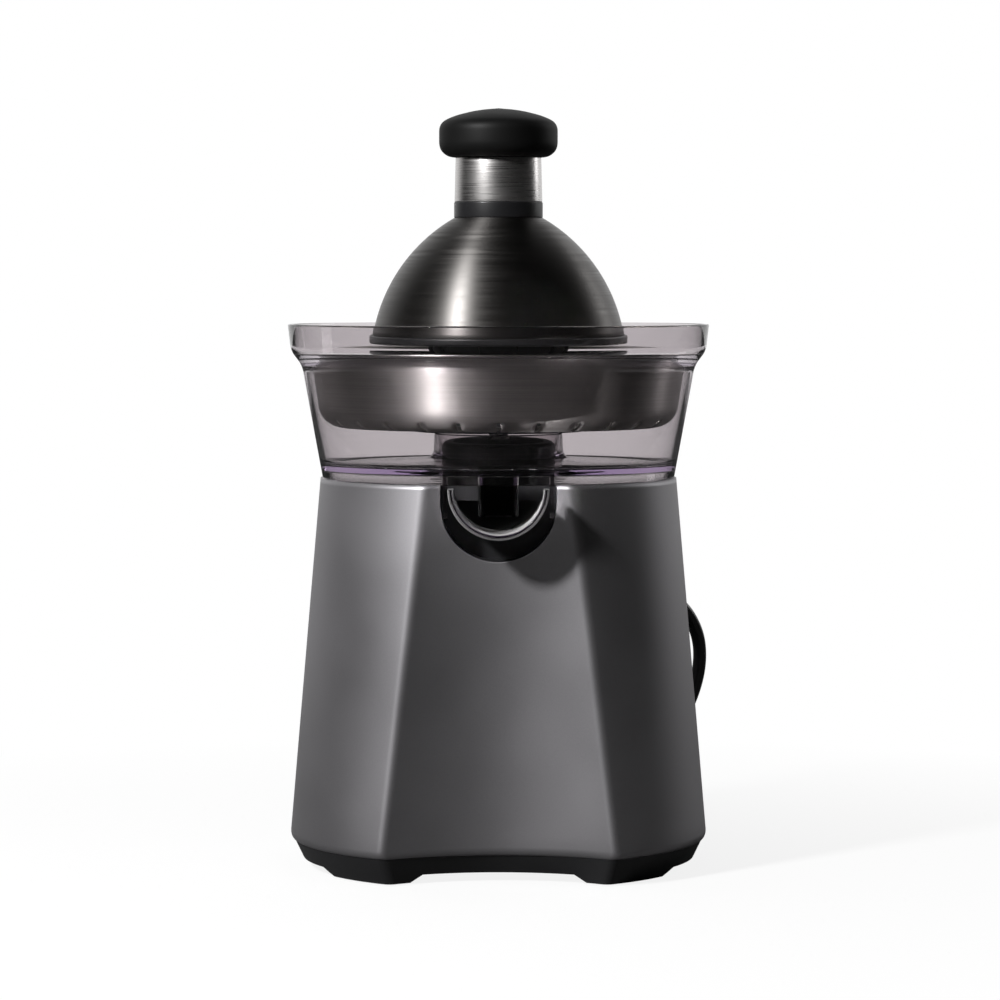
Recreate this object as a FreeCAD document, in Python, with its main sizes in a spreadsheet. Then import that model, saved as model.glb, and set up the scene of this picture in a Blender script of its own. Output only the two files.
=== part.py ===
import FreeCAD, Part
import math
import os
import re

import Sketcher
from FreeCAD import Placement, Rotation, Vector

# Electric citrus press: millimetres, +Z up, front at -Y, origin on the table under the drive axis.
doc = FreeCAD.newDocument("citrus_press")
sheet = doc.addObject("Spreadsheet::Sheet", "dims")

SIZES = [
    # Motor housing: a tapered round shell with a hollowed front panel
    ("housing_bottom", 12, "height of the housing's lower edge"),
    ("housing_top", 174.5, "height of the housing's top, where the bowl sits"),
    ("housing_radius_low", 94, "outer radius at the lower edge"),
    ("housing_radius_high", 80, "outer radius at the top"),
    ("housing_wall", 2.5, "housing wall"),
    ("housing_round", 4, "rounding of the lower edge"),
    ("panel_half_low", 51, "half width of the front panel at the lower edge"),
    ("panel_half_high", 32, "half width of the front panel at the top"),
    ("panel_hollow_low", 14, "depth of the front panel's hollow at the lower edge"),
    ("panel_hollow_high", 4.5, "depth of the front panel's hollow at the top"),
    ("panel_round", 3, "length that the rounding takes off the panel's two side edges"),
    ("recess_gap", 1.4, "gap between the spout's hinge lugs and the recess"),
    ("recess_drop", 8.5, "drop of the recess's half-round centre below the housing's top"),
    ("recess_behind", 5, "gap between the spout's rear wall and the recess's back wall"),
    ("fit", 0.2, "gap between parts that are fitted into each other"),
    # Base
    ("tray_inset_high", 2, "setback of the base at its top"),
    ("tray_inset_low", 8.5, "setback of the base at the feet"),
    ("tray_foot", 0.6, "height of the moulded feet above the table"),
    ("tray_floor", 2.5, "thickness of the base floor"),
    ("tray_lip", 6, "height of the lip that plugs into the housing"),
    ("tray_wall", 2.2, "wall of that lip"),
    ("arch_height", 4, "height of the arches between the feet"),
    ("arch_half_x", 33, "half width of the front and rear arches at the top"),
    ("arch_half_y", 42, "half width of the side arches at the top"),
    ("arch_slope", 8, "run-out of an arch's end"),
    ("pad_radius", 6, "foot pad radius"),
    ("pad_depth", 2, "foot pad thickness"),
    ("pad_x", 48, "foot pad distance from the middle, sideways"),
    ("pad_y", 57, "foot pad distance from the middle, front to back"),
    # Top deck
    ("deck_thick", 3, "deck plate"),
    ("boss_radius", 25.5, "radius of the drive boss"),
    ("boss_height", 15.5, "height of the drive boss above the deck"),
    ("boss_wall", 3, "wall of the drive boss"),
    ("post_radius", 5, "radius of the posts that carry the gearbox"),
    # Drive shaft and its bearings
    ("shaft_radius", 5, "drive shaft radius"),
    ("shaft_flat", 4.2, "distance of the shaft's flats from its axis"),
    ("shaft_stub", 6, "length of the shaft that stands out below the gearbox"),
    ("shaft_reach", 16.5, "length of the shaft inside the cones"),
    ("run_gap", 0.06, "running gap of shafts and pins"),
    ("bush_wall", 3.5, "wall of the shaft bushes"),
    ("bush_height", 12, "height of the upper bush"),
    ("press_travel", 3, "how far the cone sinks when it is pressed"),
    ("clip_radius", 8.1, "radius of the shaft clips"),
    ("clip_thick", 1.2, "thickness of the shaft clips"),
    ("spring_height", 7.5, "height of the return spring at rest"),
    ("spring_wire", 0.9, "wire of the return spring"),
    ("spring_turns", 3, "working turns of the return spring"),
    # Gearbox
    ("gear_module", 1, "tooth module"),
    ("motor_teeth", 12, "teeth of the motor pinion"),
    ("idler_teeth_large", 60, "teeth of the idler's wheel"),
    ("idler_teeth_small", 12, "teeth of the idler's pinion"),
    ("output_teeth", 72, "teeth of the output gear"),
    ("mesh_gap", 0.15, "extra centre distance of meshing gears"),
    ("idler_turn", 40.5, "direction of the idler from the drive axis, degrees"),
    ("case_radius", 60, "outer radius of the gearbox"),
    ("case_wall", 3, "walls of the gearbox"),
    ("case_low", 96, "height of the gearbox's underside"),
    ("case_height", 32, "height of the gearbox"),
    ("case_x", 13, "gearbox middle, sideways"),
    ("case_y", 12, "gearbox middle, front to back"),
    ("stage_gap", 2, "gap under the first gear stage"),
    ("stage_height", 8, "face width of the first stage"),
    ("stage_step", 2.5, "height between the two stages"),
    ("output_height", 10, "face width of the output gear"),
    ("hub_radius", 9, "radius of the gear hubs"),
    ("idler_pin_radius", 3, "radius of the idler's pin"),
    # Motor
    ("motor_radius", 26, "radius of the motor can"),
    ("motor_length", 62, "length of the motor can"),
    ("motor_wall", 2, "wall of the motor can"),
    ("motor_cap", 8, "height of the motor's end cap"),
    ("magnet_thick", 4.5, "thickness of the field magnets"),
    ("armature_radius", 18, "radius of the armature"),
    ("armature_height", 30, "height of the armature stack"),
    ("armature_slots", 10, "winding slots of the armature"),
    ("rotor_radius", 2.5, "radius of the motor shaft"),
    ("commutator_radius", 7.5, "radius of the commutator"),
    ("commutator_height", 9, "height of the commutator"),
    ("fan_radius", 20, "radius of the cooling fan"),
    ("fan_height", 6, "height of the cooling fan"),
    # Start switch
    ("switch_length", 17, "length of the start switch"),
    ("switch_width", 10, "width of the start switch"),
    ("switch_height", 16, "height of the start switch"),
    ("lever_arm", 16, "distance of the lever's pivot from the drive axis"),
    ("lever_thick", 0.8, "thickness of the lever"),
    ("lever_gap", 0.3, "gap between the lever and the shaft's end"),
    ("switch_gap", 3, "gap between the lever and the switch at rest"),
    ("plunger_gap", 0.4, "gap between the lever and the plunger at rest"),
    ("plunger_radius", 1.6, "radius of the switch plunger"),
    ("board_length", 44, "length of the circuit board"),
    ("board_width", 30, "width of the circuit board"),
    # Juice bowl
    ("bowl_wall", 2.2, "wall of the bowl"),
    ("bowl_setback", 1, "setback of the bowl's foot from the housing's top edge"),
    ("bowl_flare", 9.3, "outward lean of the bowl's wall"),
    ("bowl_wall_height", 50.5, "height of the bowl's wall above the housing"),
    ("bowl_shoulder", 6.5, "height of the shoulder under the bowl's collar"),
    ("bowl_collar_step", 4.9, "outward step from the bowl's wall to its collar"),
    ("bowl_rim_flare", 1.4, "outward lean of the collar"),
    ("bowl_collar_height", 11.9, "height of the collar"),
    ("bowl_floor_height", 6.5, "height of the bowl's floor above the housing, at the wall"),
    ("bowl_floor_rise", 2.5, "rise of the floor towards the chimney"),
    ("chimney_gap", 1.5, "gap between the drive boss and the bowl's chimney"),
    ("chimney_height", 20.1, "height of the chimney above the housing"),
    ("nozzle_half", 8.7, "half width of the outlet nozzle"),
    ("nozzle_depth", 14, "front-to-back size of the outlet nozzle"),
    ("nozzle_drop", 13.5, "drop of the nozzle's mouth below the housing's top"),
    ("nozzle_setback", 11, "distance of the nozzle's middle from the bowl's foot"),
    # Drip spout
    ("spout_radius", 21.8, "outer radius of the spout"),
    ("spout_wall", 2.4, "wall of the spout"),
    ("spout_drop", 0.9, "drop of the spout's half-round centre below the housing's top"),
    ("spout_lip", 15.2, "length of the spout's lip in front of the bowl's foot"),
    ("spout_behind", 11, "distance of the spout's rear wall behind the nozzle"),
    ("spout_step", 7, "drop of the spout's side walls under the bowl"),
    ("spout_pivot_ahead", 5, "distance of the spout's hinge in front of the nozzle"),
    ("spout_pivot_drop", 9.6, "drop of the spout's hinge below its half-round centre"),
    ("spout_pin_radius", 1.8, "radius of the spout's hinge pins"),
    ("spout_lug", 2, "thickness of the hinge lugs"),
    # Strainer
    ("sheet", 0.8, "thickness of the steel sheet"),
    ("strainer_rim_gap", 0.8, "gap between the strainer's rim and the bowl's collar"),
    ("strainer_gap", 1.7, "gap between the strainer's wall and the bowl's wall at the top"),
    ("strainer_taper", 3.4, "inward lean of the strainer's wall"),
    ("strainer_height", 22.9, "height of the strainer's underside above the housing"),
    ("strainer_corner", 11, "rounding between the strainer's wall and floor"),
    ("slot_count", 28, "juice slots"),
    ("slot_width", 2, "width of a juice slot"),
    ("slot_margin", 8, "distance of the juice slots from the strainer's hub"),
    ("slot_edge", 2.4, "distance of the juice slots from the strainer's wall"),
    ("hub_flange_radius", 38, "radius of the strainer's hub"),
    ("hub_flange", 2, "thickness of the hub's flange"),
    ("hub_bore", 18, "bore of the strainer's hub"),
    ("hub_height", 5.5, "height of the hub above the strainer's floor"),
    ("slide_gap", 0.15, "gap of sliding parts"),
    ("cone_bush_bore", 12, "bore of the cone's bush"),
    # Reamer cones
    ("cone_lift", 12.1, "height of the cones above the strainer's underside"),
    ("cone_radius", 36, "radius of the large cone"),
    ("cone_height", 62.5, "height of the large cone"),
    ("tip_radius", 4, "radius where the large cone's rounded tip begins"),
    ("tip_drop", 3, "height of that rounded tip"),
    ("cone_ribs", 10, "ribs of the large cone"),
    ("rib_end_radius", 11, "distance of the ribs' upper ends from the axis"),
    ("rib_end_drop", 9, "height of the cone's tip above the ribs' ends"),
    ("small_cone_radius", 24, "radius of the small cone"),
    ("small_cone_height", 38.5, "height of the small cone"),
    # Press dome and its knob
    ("dome_lift", 39.6, "height of the dome's edge above the strainer's underside"),
    ("dome_radius_low", 56.6, "outer radius of the dome's lower edge"),
    ("dome_radius_high", 19.8, "outer radius of the dome's top"),
    ("dome_height", 54, "height of the dome"),
    ("dome_curve", 75, "radius of the dome's profile"),
    ("rim_step", 1.4, "outward step of the dome's rim"),
    ("rim_height", 3, "height of the dome's rim"),
    ("liner_wall", 2, "wall of the dome's liner"),
    ("liner_ribs", 8, "ribs inside the liner"),
    ("liner_rib_depth", 2.4, "depth of the liner's ribs"),
    ("ring_step", 0.1, "outward step of the neck ring from the dome's top"),
    ("ring_height", 7, "height of the neck ring"),
    ("collar_setback", 0.2, "setback of the polished collar from the neck ring"),
    ("collar_taper", 0.5, "inward lean of the polished collar"),
    ("collar_wall", 1.2, "wall of the polished collar"),
    ("collar_height", 20, "height of the polished collar"),
    ("knob_radius", 26.6, "radius of the knob"),
    ("knob_height", 22, "height of the knob above the collar"),
    ("knob_crown", 56, "radius of the knob's crown"),
    ("bolt_radius", 3, "radius of the knob's bolt"),
    # Mains lead
    ("lead_diameter", 6.4, "diameter of the mains lead"),
    ("lead_exit_height", 115, "height where the lead leaves the housing"),
    ("lead_exit_turn", 50, "direction of the exit from +X, degrees"),
    ("relief_length", 21, "length of the strain relief outside the housing"),
    ("relief_radius", 5.6, "radius of the strain relief at the housing"),
    ("coil_radius", 33, "middle radius of the coil's turns"),
    ("coil_turns", 2, "turns in each of the coil's two layers"),
    ("coil_gap", 0.7, "gap between the coil's turns"),
    ("tie_thick", 1, "thickness of the coil's tie"),
    ("tie_width", 7, "width of the coil's tie"),
    ("plug_length", 34, "length of the plug's body"),
    ("plug_half", 12.8, "half width of the plug"),
    ("plug_thick", 13.6, "thickness of the plug"),
    ("plug_pin_radius", 2, "radius of the plug's pins"),
    ("plug_pin_length", 19, "length of the plug's pins"),
    ("plug_pin_half", 9.3, "distance of a pin from the plug's middle"),
    ("column_radius", 4.5, "radius of the columns between deck and base"),
    ("screw_radius", 1.6, "radius of the screws"),
    ("screw_head", 3.2, "radius of the screw heads"),
]
for row, (alias, amount, meaning) in enumerate(SIZES, 1):
    sheet.set(f"A{row}", meaning)
    sheet.set(f"B{row}", str(amount))
    sheet.setAlias(f"B{row}", alias)
doc.recompute()
ALIASES = sorted((alias for alias, _, _ in SIZES), key=len, reverse=True)
WORDS = re.compile(r"\b(" + "|".join(ALIASES) + r")\b")


# Heights and radii that follow from the sizes in the sheet, each after those it is made of
FOLLOWING = [
    ("recess_half", "spout_radius + spout_lug + recess_gap"),
    ("recess_centre", "housing_top - recess_drop"),
    ("shaft_low", "case_low - shaft_stub"),
    ("case_high", "case_low + case_height"),
    ("bowl_foot_radius", "housing_radius_high - bowl_setback"),
    ("bowl_wall_radius", "bowl_foot_radius + bowl_flare"),
    ("bowl_wall_top", "housing_top + bowl_wall_height"),
    ("bowl_collar_low", "bowl_wall_top + bowl_shoulder"),
    ("bowl_collar_radius", "bowl_wall_radius + bowl_collar_step"),
    ("bowl_rim_radius", "bowl_collar_radius + bowl_rim_flare"),
    ("bowl_rim_top", "bowl_collar_low + bowl_collar_height"),
    ("bowl_floor", "housing_top + bowl_floor_height"),
    ("chimney_radius", "boss_radius + chimney_gap + bowl_wall"),
    ("chimney_top", "housing_top + chimney_height"),
    ("nozzle_low", "housing_top - nozzle_drop"),
    ("nozzle_at", "bowl_foot_radius - nozzle_setback"),
    ("spout_centre", "housing_top - spout_drop"),
    ("spout_front", "bowl_foot_radius + spout_lip"),
    ("spout_rear", "nozzle_at - spout_behind"),
    ("recess_depth_at", "spout_rear - recess_behind"),
    ("spout_pivot_at", "nozzle_at + spout_pivot_ahead"),
    ("spout_pivot_height", "spout_centre - spout_pivot_drop"),
    ("strainer_rim_radius", "bowl_collar_radius - bowl_wall - strainer_rim_gap"),
    ("strainer_radius", "bowl_wall_radius - bowl_wall - strainer_gap"),
    ("strainer_radius_low", "strainer_radius - strainer_taper"),
    ("strainer_floor", "housing_top + strainer_height"),
    ("slot_inner", "hub_flange_radius + slot_margin"),
    ("slot_outer", "strainer_radius_low - slot_edge"),
    ("cone_base", "strainer_floor + cone_lift"),
    ("shaft_high", "cone_base + shaft_reach"),
    ("cone_tip", "cone_base + cone_height"),
    ("small_cone_tip", "cone_base + small_cone_height"),
    ("dome_low", "strainer_floor + dome_lift"),
    ("dome_high", "dome_low + dome_height"),
    ("rim_radius", "dome_radius_low + rim_step"),
    ("rim_low", "dome_low - rim_height"),
    ("ring_radius", "dome_radius_high + ring_step"),
    ("ring_top", "dome_high + ring_height"),
    ("collar_radius_low", "ring_radius - collar_setback"),
    ("collar_radius_high", "collar_radius_low - collar_taper"),
    ("collar_top", "ring_top + collar_height"),
    ("knob_top", "collar_top + knob_height"),
]


def linked(expression):
    """Write out the heights and radii that follow, and point every size at its cell."""
    written = str(expression)
    for name, formula in reversed(FOLLOWING):
        written = re.sub(rf"\b{name}\b", f"({formula})", written)
    return WORDS.sub(r"dims.\1", written)


def number(expression):
    """The present value of an expression."""
    found = sheet.evalExpression(linked(expression))
    return float(getattr(found, "Value", found))


def bind(target, name, expression):
    """Tie one property to the sheet."""
    target.setExpression(name, linked(expression))


nodes = {}


def keep(label, shape):
    """Name a finished piece; a stage of it that has the name already steps aside."""
    for stage in doc.getObjectsByLabel(label):
        stage.Label = label + "_stage"
    shape.Label = label
    nodes[label] = shape
    return shape


# Sketches from outlines of (x, y) corners; (x, y, radius, side) starts an arc to the next corner,
# with its centre to the left (1) or to the right (-1) of the way


def draw(sketch, outline):
    corners = [Vector(number(point[0]), number(point[1]), 0) for point in outline]
    count = len(outline)
    ends = []
    for index, point in enumerate(outline):
        start = corners[index]
        end = corners[(index + 1) % count]
        if len(point) == 2:
            sketch.addGeometry(Part.LineSegment(start, end), False)
            ends.append((1, 2))
            continue
        radius = number(point[2])
        side = point[3]
        chord = end - start
        across = Vector(-chord.y, chord.x, 0).normalize()
        rise = math.sqrt(max(radius**2 - chord.Length**2 / 4, 0))
        centre = (start + end) * 0.5 + across * rise * side
        turns = [math.atan2(corner.y - centre.y, corner.x - centre.x) for corner in (start, end)]
        if side < 0:
            turns.reverse()
        circle = Part.Circle(centre, Vector(0, 0, 1), radius)
        sketch.addGeometry(Part.ArcOfCircle(circle, *turns), False)
        ends.append((1, 2) if side > 0 else (2, 1))
    rules = []
    ties = []
    for index, point in enumerate(outline):
        after = (index + 1) % count
        rules.append(Sketcher.Constraint("Coincident", index, ends[index][1], after, ends[after][0]))
    for index, point in enumerate(outline):
        for kind, axis, place in (("DistanceX", -2, 0), ("DistanceY", -1, 1)):
            if str(point[place]) == "0":
                rules.append(Sketcher.Constraint("PointOnObject", index, ends[index][0], axis))
                continue
            ties.append((len(rules), point[place]))
            amount = number(point[place])
            rules.append(Sketcher.Constraint(kind, index, ends[index][0], amount))
        if len(point) == 4:
            ties.append((len(rules), point[2]))
            rules.append(Sketcher.Constraint("Radius", index, number(point[2])))
    sketch.addConstraint(rules)
    for place, expression in ties:
        bind(sketch, f"Constraints[{place}]", expression)


def new_body(name):
    return doc.addObject("PartDesign::Body", name)


def new_sketch(body, role, outlines, height="0"):
    plane = next(item for item in body.Origin.OriginFeatures if item.Role == role)
    sketch = body.newObject("Sketcher::SketchObject", body.Name + "_sketch")
    sketch.AttachmentSupport = [(plane, "")]
    sketch.MapMode = "FlatFace"
    bind(sketch, "AttachmentOffset.Base.z", height)
    for outline in outlines:
        draw(sketch, outline)
    return sketch


def revolved(name, *outlines):
    """Turn half profiles of (radius, height) once round the vertical axis."""
    body = new_body(name)
    for outline in outlines:
        profile = new_sketch(body, "XZ_Plane", [outline])
        turn = body.newObject("PartDesign::Revolution", name + "_turn")
        turn.Profile = profile
        turn.ReferenceAxis = (profile, ["V_Axis"])
        turn.Angle = 360
    return body


def padded(name, role, outline, start, length):
    """Extrude an outline from a height on its plane's own axis."""
    body = new_body(name)
    profile = new_sketch(body, role, [outline], start)
    pad = body.newObject("PartDesign::Pad", name + "_pad")
    pad.Profile = profile
    bind(pad, "Length", length)
    return body


def cylinder(name, radius, low, height, x="0", y="0"):
    rod = doc.addObject("Part::Cylinder", name)
    bind(rod, "Radius", radius)
    bind(rod, "Height", height)
    for axis, expression in zip("xyz", (x, y, low)):
        bind(rod, f"Placement.Base.{axis}", expression)
    return rod


def lying_cylinder(name, radius, x, y, z, length):
    """A rod along +X from a point."""
    rod = cylinder(name, radius, z, length, x, y)
    rod.Placement.Rotation = Rotation(Vector(0, 1, 0), 90)
    return rod


def block(name, x, y, z, length, width, height):
    box = doc.addObject("Part::Box", name)
    for side, expression in zip(("Length", "Width", "Height"), (length, width, height)):
        bind(box, side, expression)
    for axis, expression in zip("xyz", (x, y, z)):
        bind(box, f"Placement.Base.{axis}", expression)
    return box


def joined(name, pieces):
    whole = doc.addObject("Part::MultiFuse", name)
    whole.Shapes = pieces
    whole.Refine = True
    return whole


def cut(name, base, *tools):
    """Take the tools away from the base, one after the other."""
    for tool in tools:
        base_cut = doc.addObject("Part::Cut", f"{name}_cut")
        base_cut.Base = base
        base_cut.Tool = tool
        base_cut.Refine = True
        base = base_cut
    return base


def shared(name, first, second):
    common = doc.addObject("Part::Common", name)
    common.Base = first
    common.Tool = second
    return common


def grouped(name, pieces):
    group = doc.addObject("Part::Compound", name)
    group.Links = pieces
    return group


def moved_copies(name, piece, places):
    """Copies of one piece at places of (x, y), as one group."""
    copies = []
    for x, y in places:
        copy = doc.addObject("Part::Compound", name + "_copy")
        copy.Links = [piece]
        bind(copy, "Placement.Base.x", x)
        bind(copy, "Placement.Base.y", y)
        copies.append(copy)
    return copies


def ring_profile(inner, outer, low, high):
    return [(inner, low), (outer, low), (outer, high), (inner, high)]


# Motor housing


def panel_section(inset, radius, half, hollow):
    """Round outline with a hollow front and rounded corners, set in from the outer wall by the inset."""
    span = f"({half} - 0.6 * ({inset}))"
    reach = f"({radius} - ({inset}))"
    corner = f"sqrt({reach} ^ 2 - {span} ^ 2)"
    middle = f"(sqrt({radius} ^ 2 - {half} ^ 2) - {hollow} - ({inset}))"
    dip = f"({corner} - {middle})"
    curve = f"(({span} ^ 2 + {dip} ^ 2) / (2 * {dip}))"
    side_x = f"({span} + panel_round * {corner} / {reach})"
    side_y = f"-sqrt({reach} ^ 2 - {side_x} ^ 2)"
    front_x = f"({span} - panel_round * sqrt(1 - ({span} / {curve}) ^ 2))"
    front_y = f"(sqrt({curve} ^ 2 - {front_x} ^ 2) - {middle} - {curve})"
    bend = f"(panel_round / tan((asin({span} / {reach}) + asin({span} / {curve})) / 2))"
    return [
        (side_x, side_y, reach, 1),
        ("0", reach, reach, 1),
        (f"-{side_x}", side_y, bend, 1),
        (f"-{front_x}", front_y, curve, -1),
        (front_x, front_y, bend, 1),
    ]


def panel_at(height):
    """Radius, panel half width and hollow at a height, between the lower edge and the top."""
    share = f"((({height}) - housing_bottom) / (housing_top - housing_bottom))"
    names = ("housing_radius", "panel_half", "panel_hollow")
    return [f"({name}_low + ({name}_high - {name}_low) * {share})" for name in names]


def lofted(name, sections):
    """Straight loft through sections of (inset, height)."""
    body = new_body(name)
    sketches = [new_sketch(body, "XY_Plane", [panel_section(inset, *panel_at(height))], height)
                for inset, height in sections]
    loft = body.newObject("PartDesign::AdditiveLoft", name + "_loft")
    loft.Profile = sketches[0]
    loft.Sections = sketches[1:]
    loft.Ruled = True
    return body


def housing_form(name, inset):
    return lofted(name, [(inset, "housing_bottom"), (inset, "housing_top")])


def recess_outline(extra):
    half = f"(recess_half + {extra})"
    return [
        (f"-{half}", "housing_top + 1"),
        (f"-{half}", "recess_centre", half, 1),
        ("0", f"recess_centre - {half}", half, 1),
        (half, "recess_centre"),
        (half, "housing_top + 1"),
    ]


housing_outside = lofted("housing_outside", [
    ("housing_round * 0.65", "housing_bottom"),
    ("housing_round * 0.2", "housing_bottom + housing_round * 0.32"),
    ("0", "housing_bottom + housing_round"),
    ("0", "housing_top"),
])
housing_cavity = lofted("housing_cavity", [
    ("housing_wall", "housing_bottom"),
    ("housing_wall", "housing_bottom + housing_round"),
    ("housing_wall", "housing_top"),
])
recess_opening = padded("recess_opening", "XZ_Plane", recess_outline("0"), "0", "2 * housing_radius_low")
exit_x = "cos(lead_exit_turn)"
exit_y = "sin(lead_exit_turn)"
relief_hole = doc.addObject("Part::Cylinder", "relief_hole")
bind(relief_hole, "Radius", "relief_radius - 1.2")
bind(relief_hole, "Height", "2 * housing_radius_low")
bind(relief_hole, "Placement.Base.z", "lead_exit_height")
relief_turn = Rotation(Vector(0, 0, 1), number("lead_exit_turn")) * Rotation(Vector(0, 1, 0), 90)
relief_hole.Placement.Rotation = relief_turn
keep("housing", cut("housing", housing_outside, housing_cavity, recess_opening, relief_hole))

# Base tray: an inward-sloping skirt with four feet, arched between them

tray_skirt = lofted("tray_skirt", [("tray_inset_low", "tray_foot"), ("tray_inset_high", "housing_bottom")])
plug_form = housing_form("plug_form", "housing_wall + fit")
plug_slab = block("plug_slab", "-housing_radius_low", "-housing_radius_low", "housing_bottom",
                  "2 * housing_radius_low", "2 * housing_radius_low", "tray_lip")
tray_plug = shared("tray_plug", plug_form, plug_slab)
lip_inset = "housing_wall + fit + tray_wall"
tray_inside = lofted("tray_inside", [
    (f"{lip_inset} + 4", "arch_height + tray_floor"),
    (lip_inset, "housing_bottom + tray_lip + 1"),
])


def arch(name, role, half):
    outline = [
        (f"-{half} - arch_slope", "-1"),
        (f"{half} + arch_slope", "-1"),
        (half, "arch_height"),
        (f"-{half}", "arch_height"),
    ]
    return padded(name, role, outline, "-2 * housing_radius_low", "4 * housing_radius_low")


FOOT_PLACES = [("pad_x", "pad_y"), ("-pad_x", "pad_y"), ("-pad_x", "-pad_y"), ("pad_x", "-pad_y")]
pad = cylinder("pad", "pad_radius", "0", "pad_depth")
pad_seats = moved_copies("pad_seat", pad, FOOT_PLACES)
tray_whole = joined("tray_whole", [tray_skirt, tray_plug])
tray = cut("base_tray", tray_whole, tray_inside, arch("arch_front", "XZ_Plane", "arch_half_x"),
           arch("arch_side", "YZ_Plane", "arch_half_y"), *pad_seats)
keep("base_tray", tray)
keep("foot_pads", grouped("foot_pads", moved_copies("foot_pad", pad, FOOT_PLACES)))

# Top deck: closes the housing, carries the gearbox, and has the drive boss and the spout's recess

deck_plate = cylinder("deck_plate", "housing_radius_low", "housing_top - deck_thick", "deck_thick")
recess_shell = padded("recess_shell", "XZ_Plane", recess_outline("2"), "recess_depth_at - 2",
                      "housing_radius_low - recess_depth_at")
deck_limit = housing_form("deck_limit", "housing_wall + fit")
deck_blank = shared("deck_blank", joined("deck_sum", [deck_plate, recess_shell]), deck_limit)
recess_space = padded("recess_space", "XZ_Plane", recess_outline("0"), "recess_depth_at",
                      "housing_radius_low")
bush_radius = "(shaft_radius + run_gap + bush_wall)"
boss_top = "(housing_top + boss_height)"
boss = revolved("boss", [
    (bush_radius, "housing_top - deck_thick"),
    ("boss_radius", "housing_top - deck_thick"),
    ("boss_radius", f"{boss_top} - 2", "2", 1),
    ("boss_radius - 2", boss_top),
    ("boss_radius - boss_wall - 2", boss_top),
    ("boss_radius - boss_wall - 2", f"{boss_top} - 2"),
    (f"{bush_radius}", f"{boss_top} - 2"),
])
POST_TURNS = (75, 165, 255, 345)
case_post_ring = "(case_radius - 5)"
POST_PLACES = [(f"case_x + {case_post_ring} * cos({turn})", f"case_y + {case_post_ring} * sin({turn})")
               for turn in POST_TURNS]
post = cylinder("post", "post_radius", "case_high", "housing_top - deck_thick - case_high")
posts = moved_copies("post", post, POST_PLACES)
shaft_well = cylinder("shaft_well", bush_radius, "housing_top - deck_thick - 1",
                      "boss_height + deck_thick + 2")
deck_solid = joined("deck_solid", [deck_blank, boss] + posts)
keep("top_deck", cut("top_deck", deck_solid, recess_space, shaft_well))

# Bearings of the drive shaft

upper_bush_low = f"({boss_top} - 2 - bush_height)"
keep("upper_bush", revolved("upper_bush", ring_profile(
    "shaft_radius + run_gap", bush_radius, upper_bush_low, f"{boss_top} - 2")))
keep("shaft_seal", revolved("shaft_seal", [
    ("shaft_radius + run_gap + 0.1", f"{boss_top} - 2"),
    ("boss_radius - boss_wall - 2", f"{boss_top} - 2"),
    ("boss_radius - boss_wall - 2", boss_top),
    ("shaft_radius + 3", boss_top),
    ("shaft_radius + run_gap + 0.1", f"{boss_top} + 1"),
]))
keep("lower_bush", revolved("lower_bush", [
    ("shaft_radius + run_gap", "case_low"),
    (bush_radius, "case_low"),
    (bush_radius, "case_low + case_wall + 1.5"),
    ("shaft_radius + run_gap", "case_low + case_wall + 1.5"),
]))

# Gear train: two spur stages from the motor to the drive shaft

PRESSURE = math.radians(25)
idler_reach = "(gear_module * (idler_teeth_small + output_teeth) / 2 + mesh_gap)"
motor_reach = "(gear_module * (motor_teeth + idler_teeth_large) / 2 + mesh_gap)"
idler_x = f"({idler_reach} * cos(idler_turn))"
idler_y = f"({idler_reach} * sin(idler_turn))"
motor_y = f"({idler_y} + sqrt({motor_reach} ^ 2 - {idler_x} ^ 2))"


def gear_blank(teeth, low, height, x, y, facing):
    """Spur gear with involute flanks; the middle of a tooth faces the given direction, in radians."""
    module = number("gear_module")
    teeth = int(round(number(teeth)))
    pitch = module * teeth / 2
    base = pitch * math.cos(PRESSURE)
    tip = pitch + module
    root = pitch - 1.25 * module
    slim = 0.03 * module / pitch
    flank_pitch = math.tan(PRESSURE) - PRESSURE
    half_tooth = math.pi / (2 * teeth) - slim + flank_pitch

    def flank(radius):
        turn = math.acos(min(1, base / radius))
        return half_tooth - (math.tan(turn) - turn)

    start = max(base, root)
    middle = (start + tip) / 2
    edges = []

    def point(radius, angle):
        return Vector(radius * math.cos(angle), radius * math.sin(angle), 0)

    step = 2 * math.pi / teeth
    for tooth in range(teeth):
        at = facing + tooth * step
        foot = at - flank(start)
        previous = at - step + flank(start)
        gap_middle = (foot + previous) / 2
        edges.append(Part.Arc(point(root, previous), point(root, gap_middle), point(root, foot)).toShape())
        if start > root:
            edges.append(Part.LineSegment(point(root, foot), point(start, foot)).toShape())
        for side in (-1, 1):
            rising = [point(r, at + side * flank(r)) for r in (start, middle, tip)]
            if side > 0:
                rising.reverse()
                edges.append(Part.Arc(point(tip, at - flank(tip)), point(tip, at),
                                      point(tip, at + flank(tip))).toShape())
            edges.append(Part.Arc(*rising).toShape())
        if start > root:
            edges.append(Part.LineSegment(point(start, at + flank(start)),
                                          point(root, at + flank(start))).toShape())
    outline = Part.Wire(Part.sortEdges(edges)[0])
    solid = Part.Face(outline).extrude(Vector(0, 0, number(height)))
    solid.translate(Vector(number(x), number(y), number(low)))
    return solid


def gear(name, *blank):
    feature = doc.addObject("Part::Feature", name)
    feature.Shape = gear_blank(*blank)
    return feature


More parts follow.
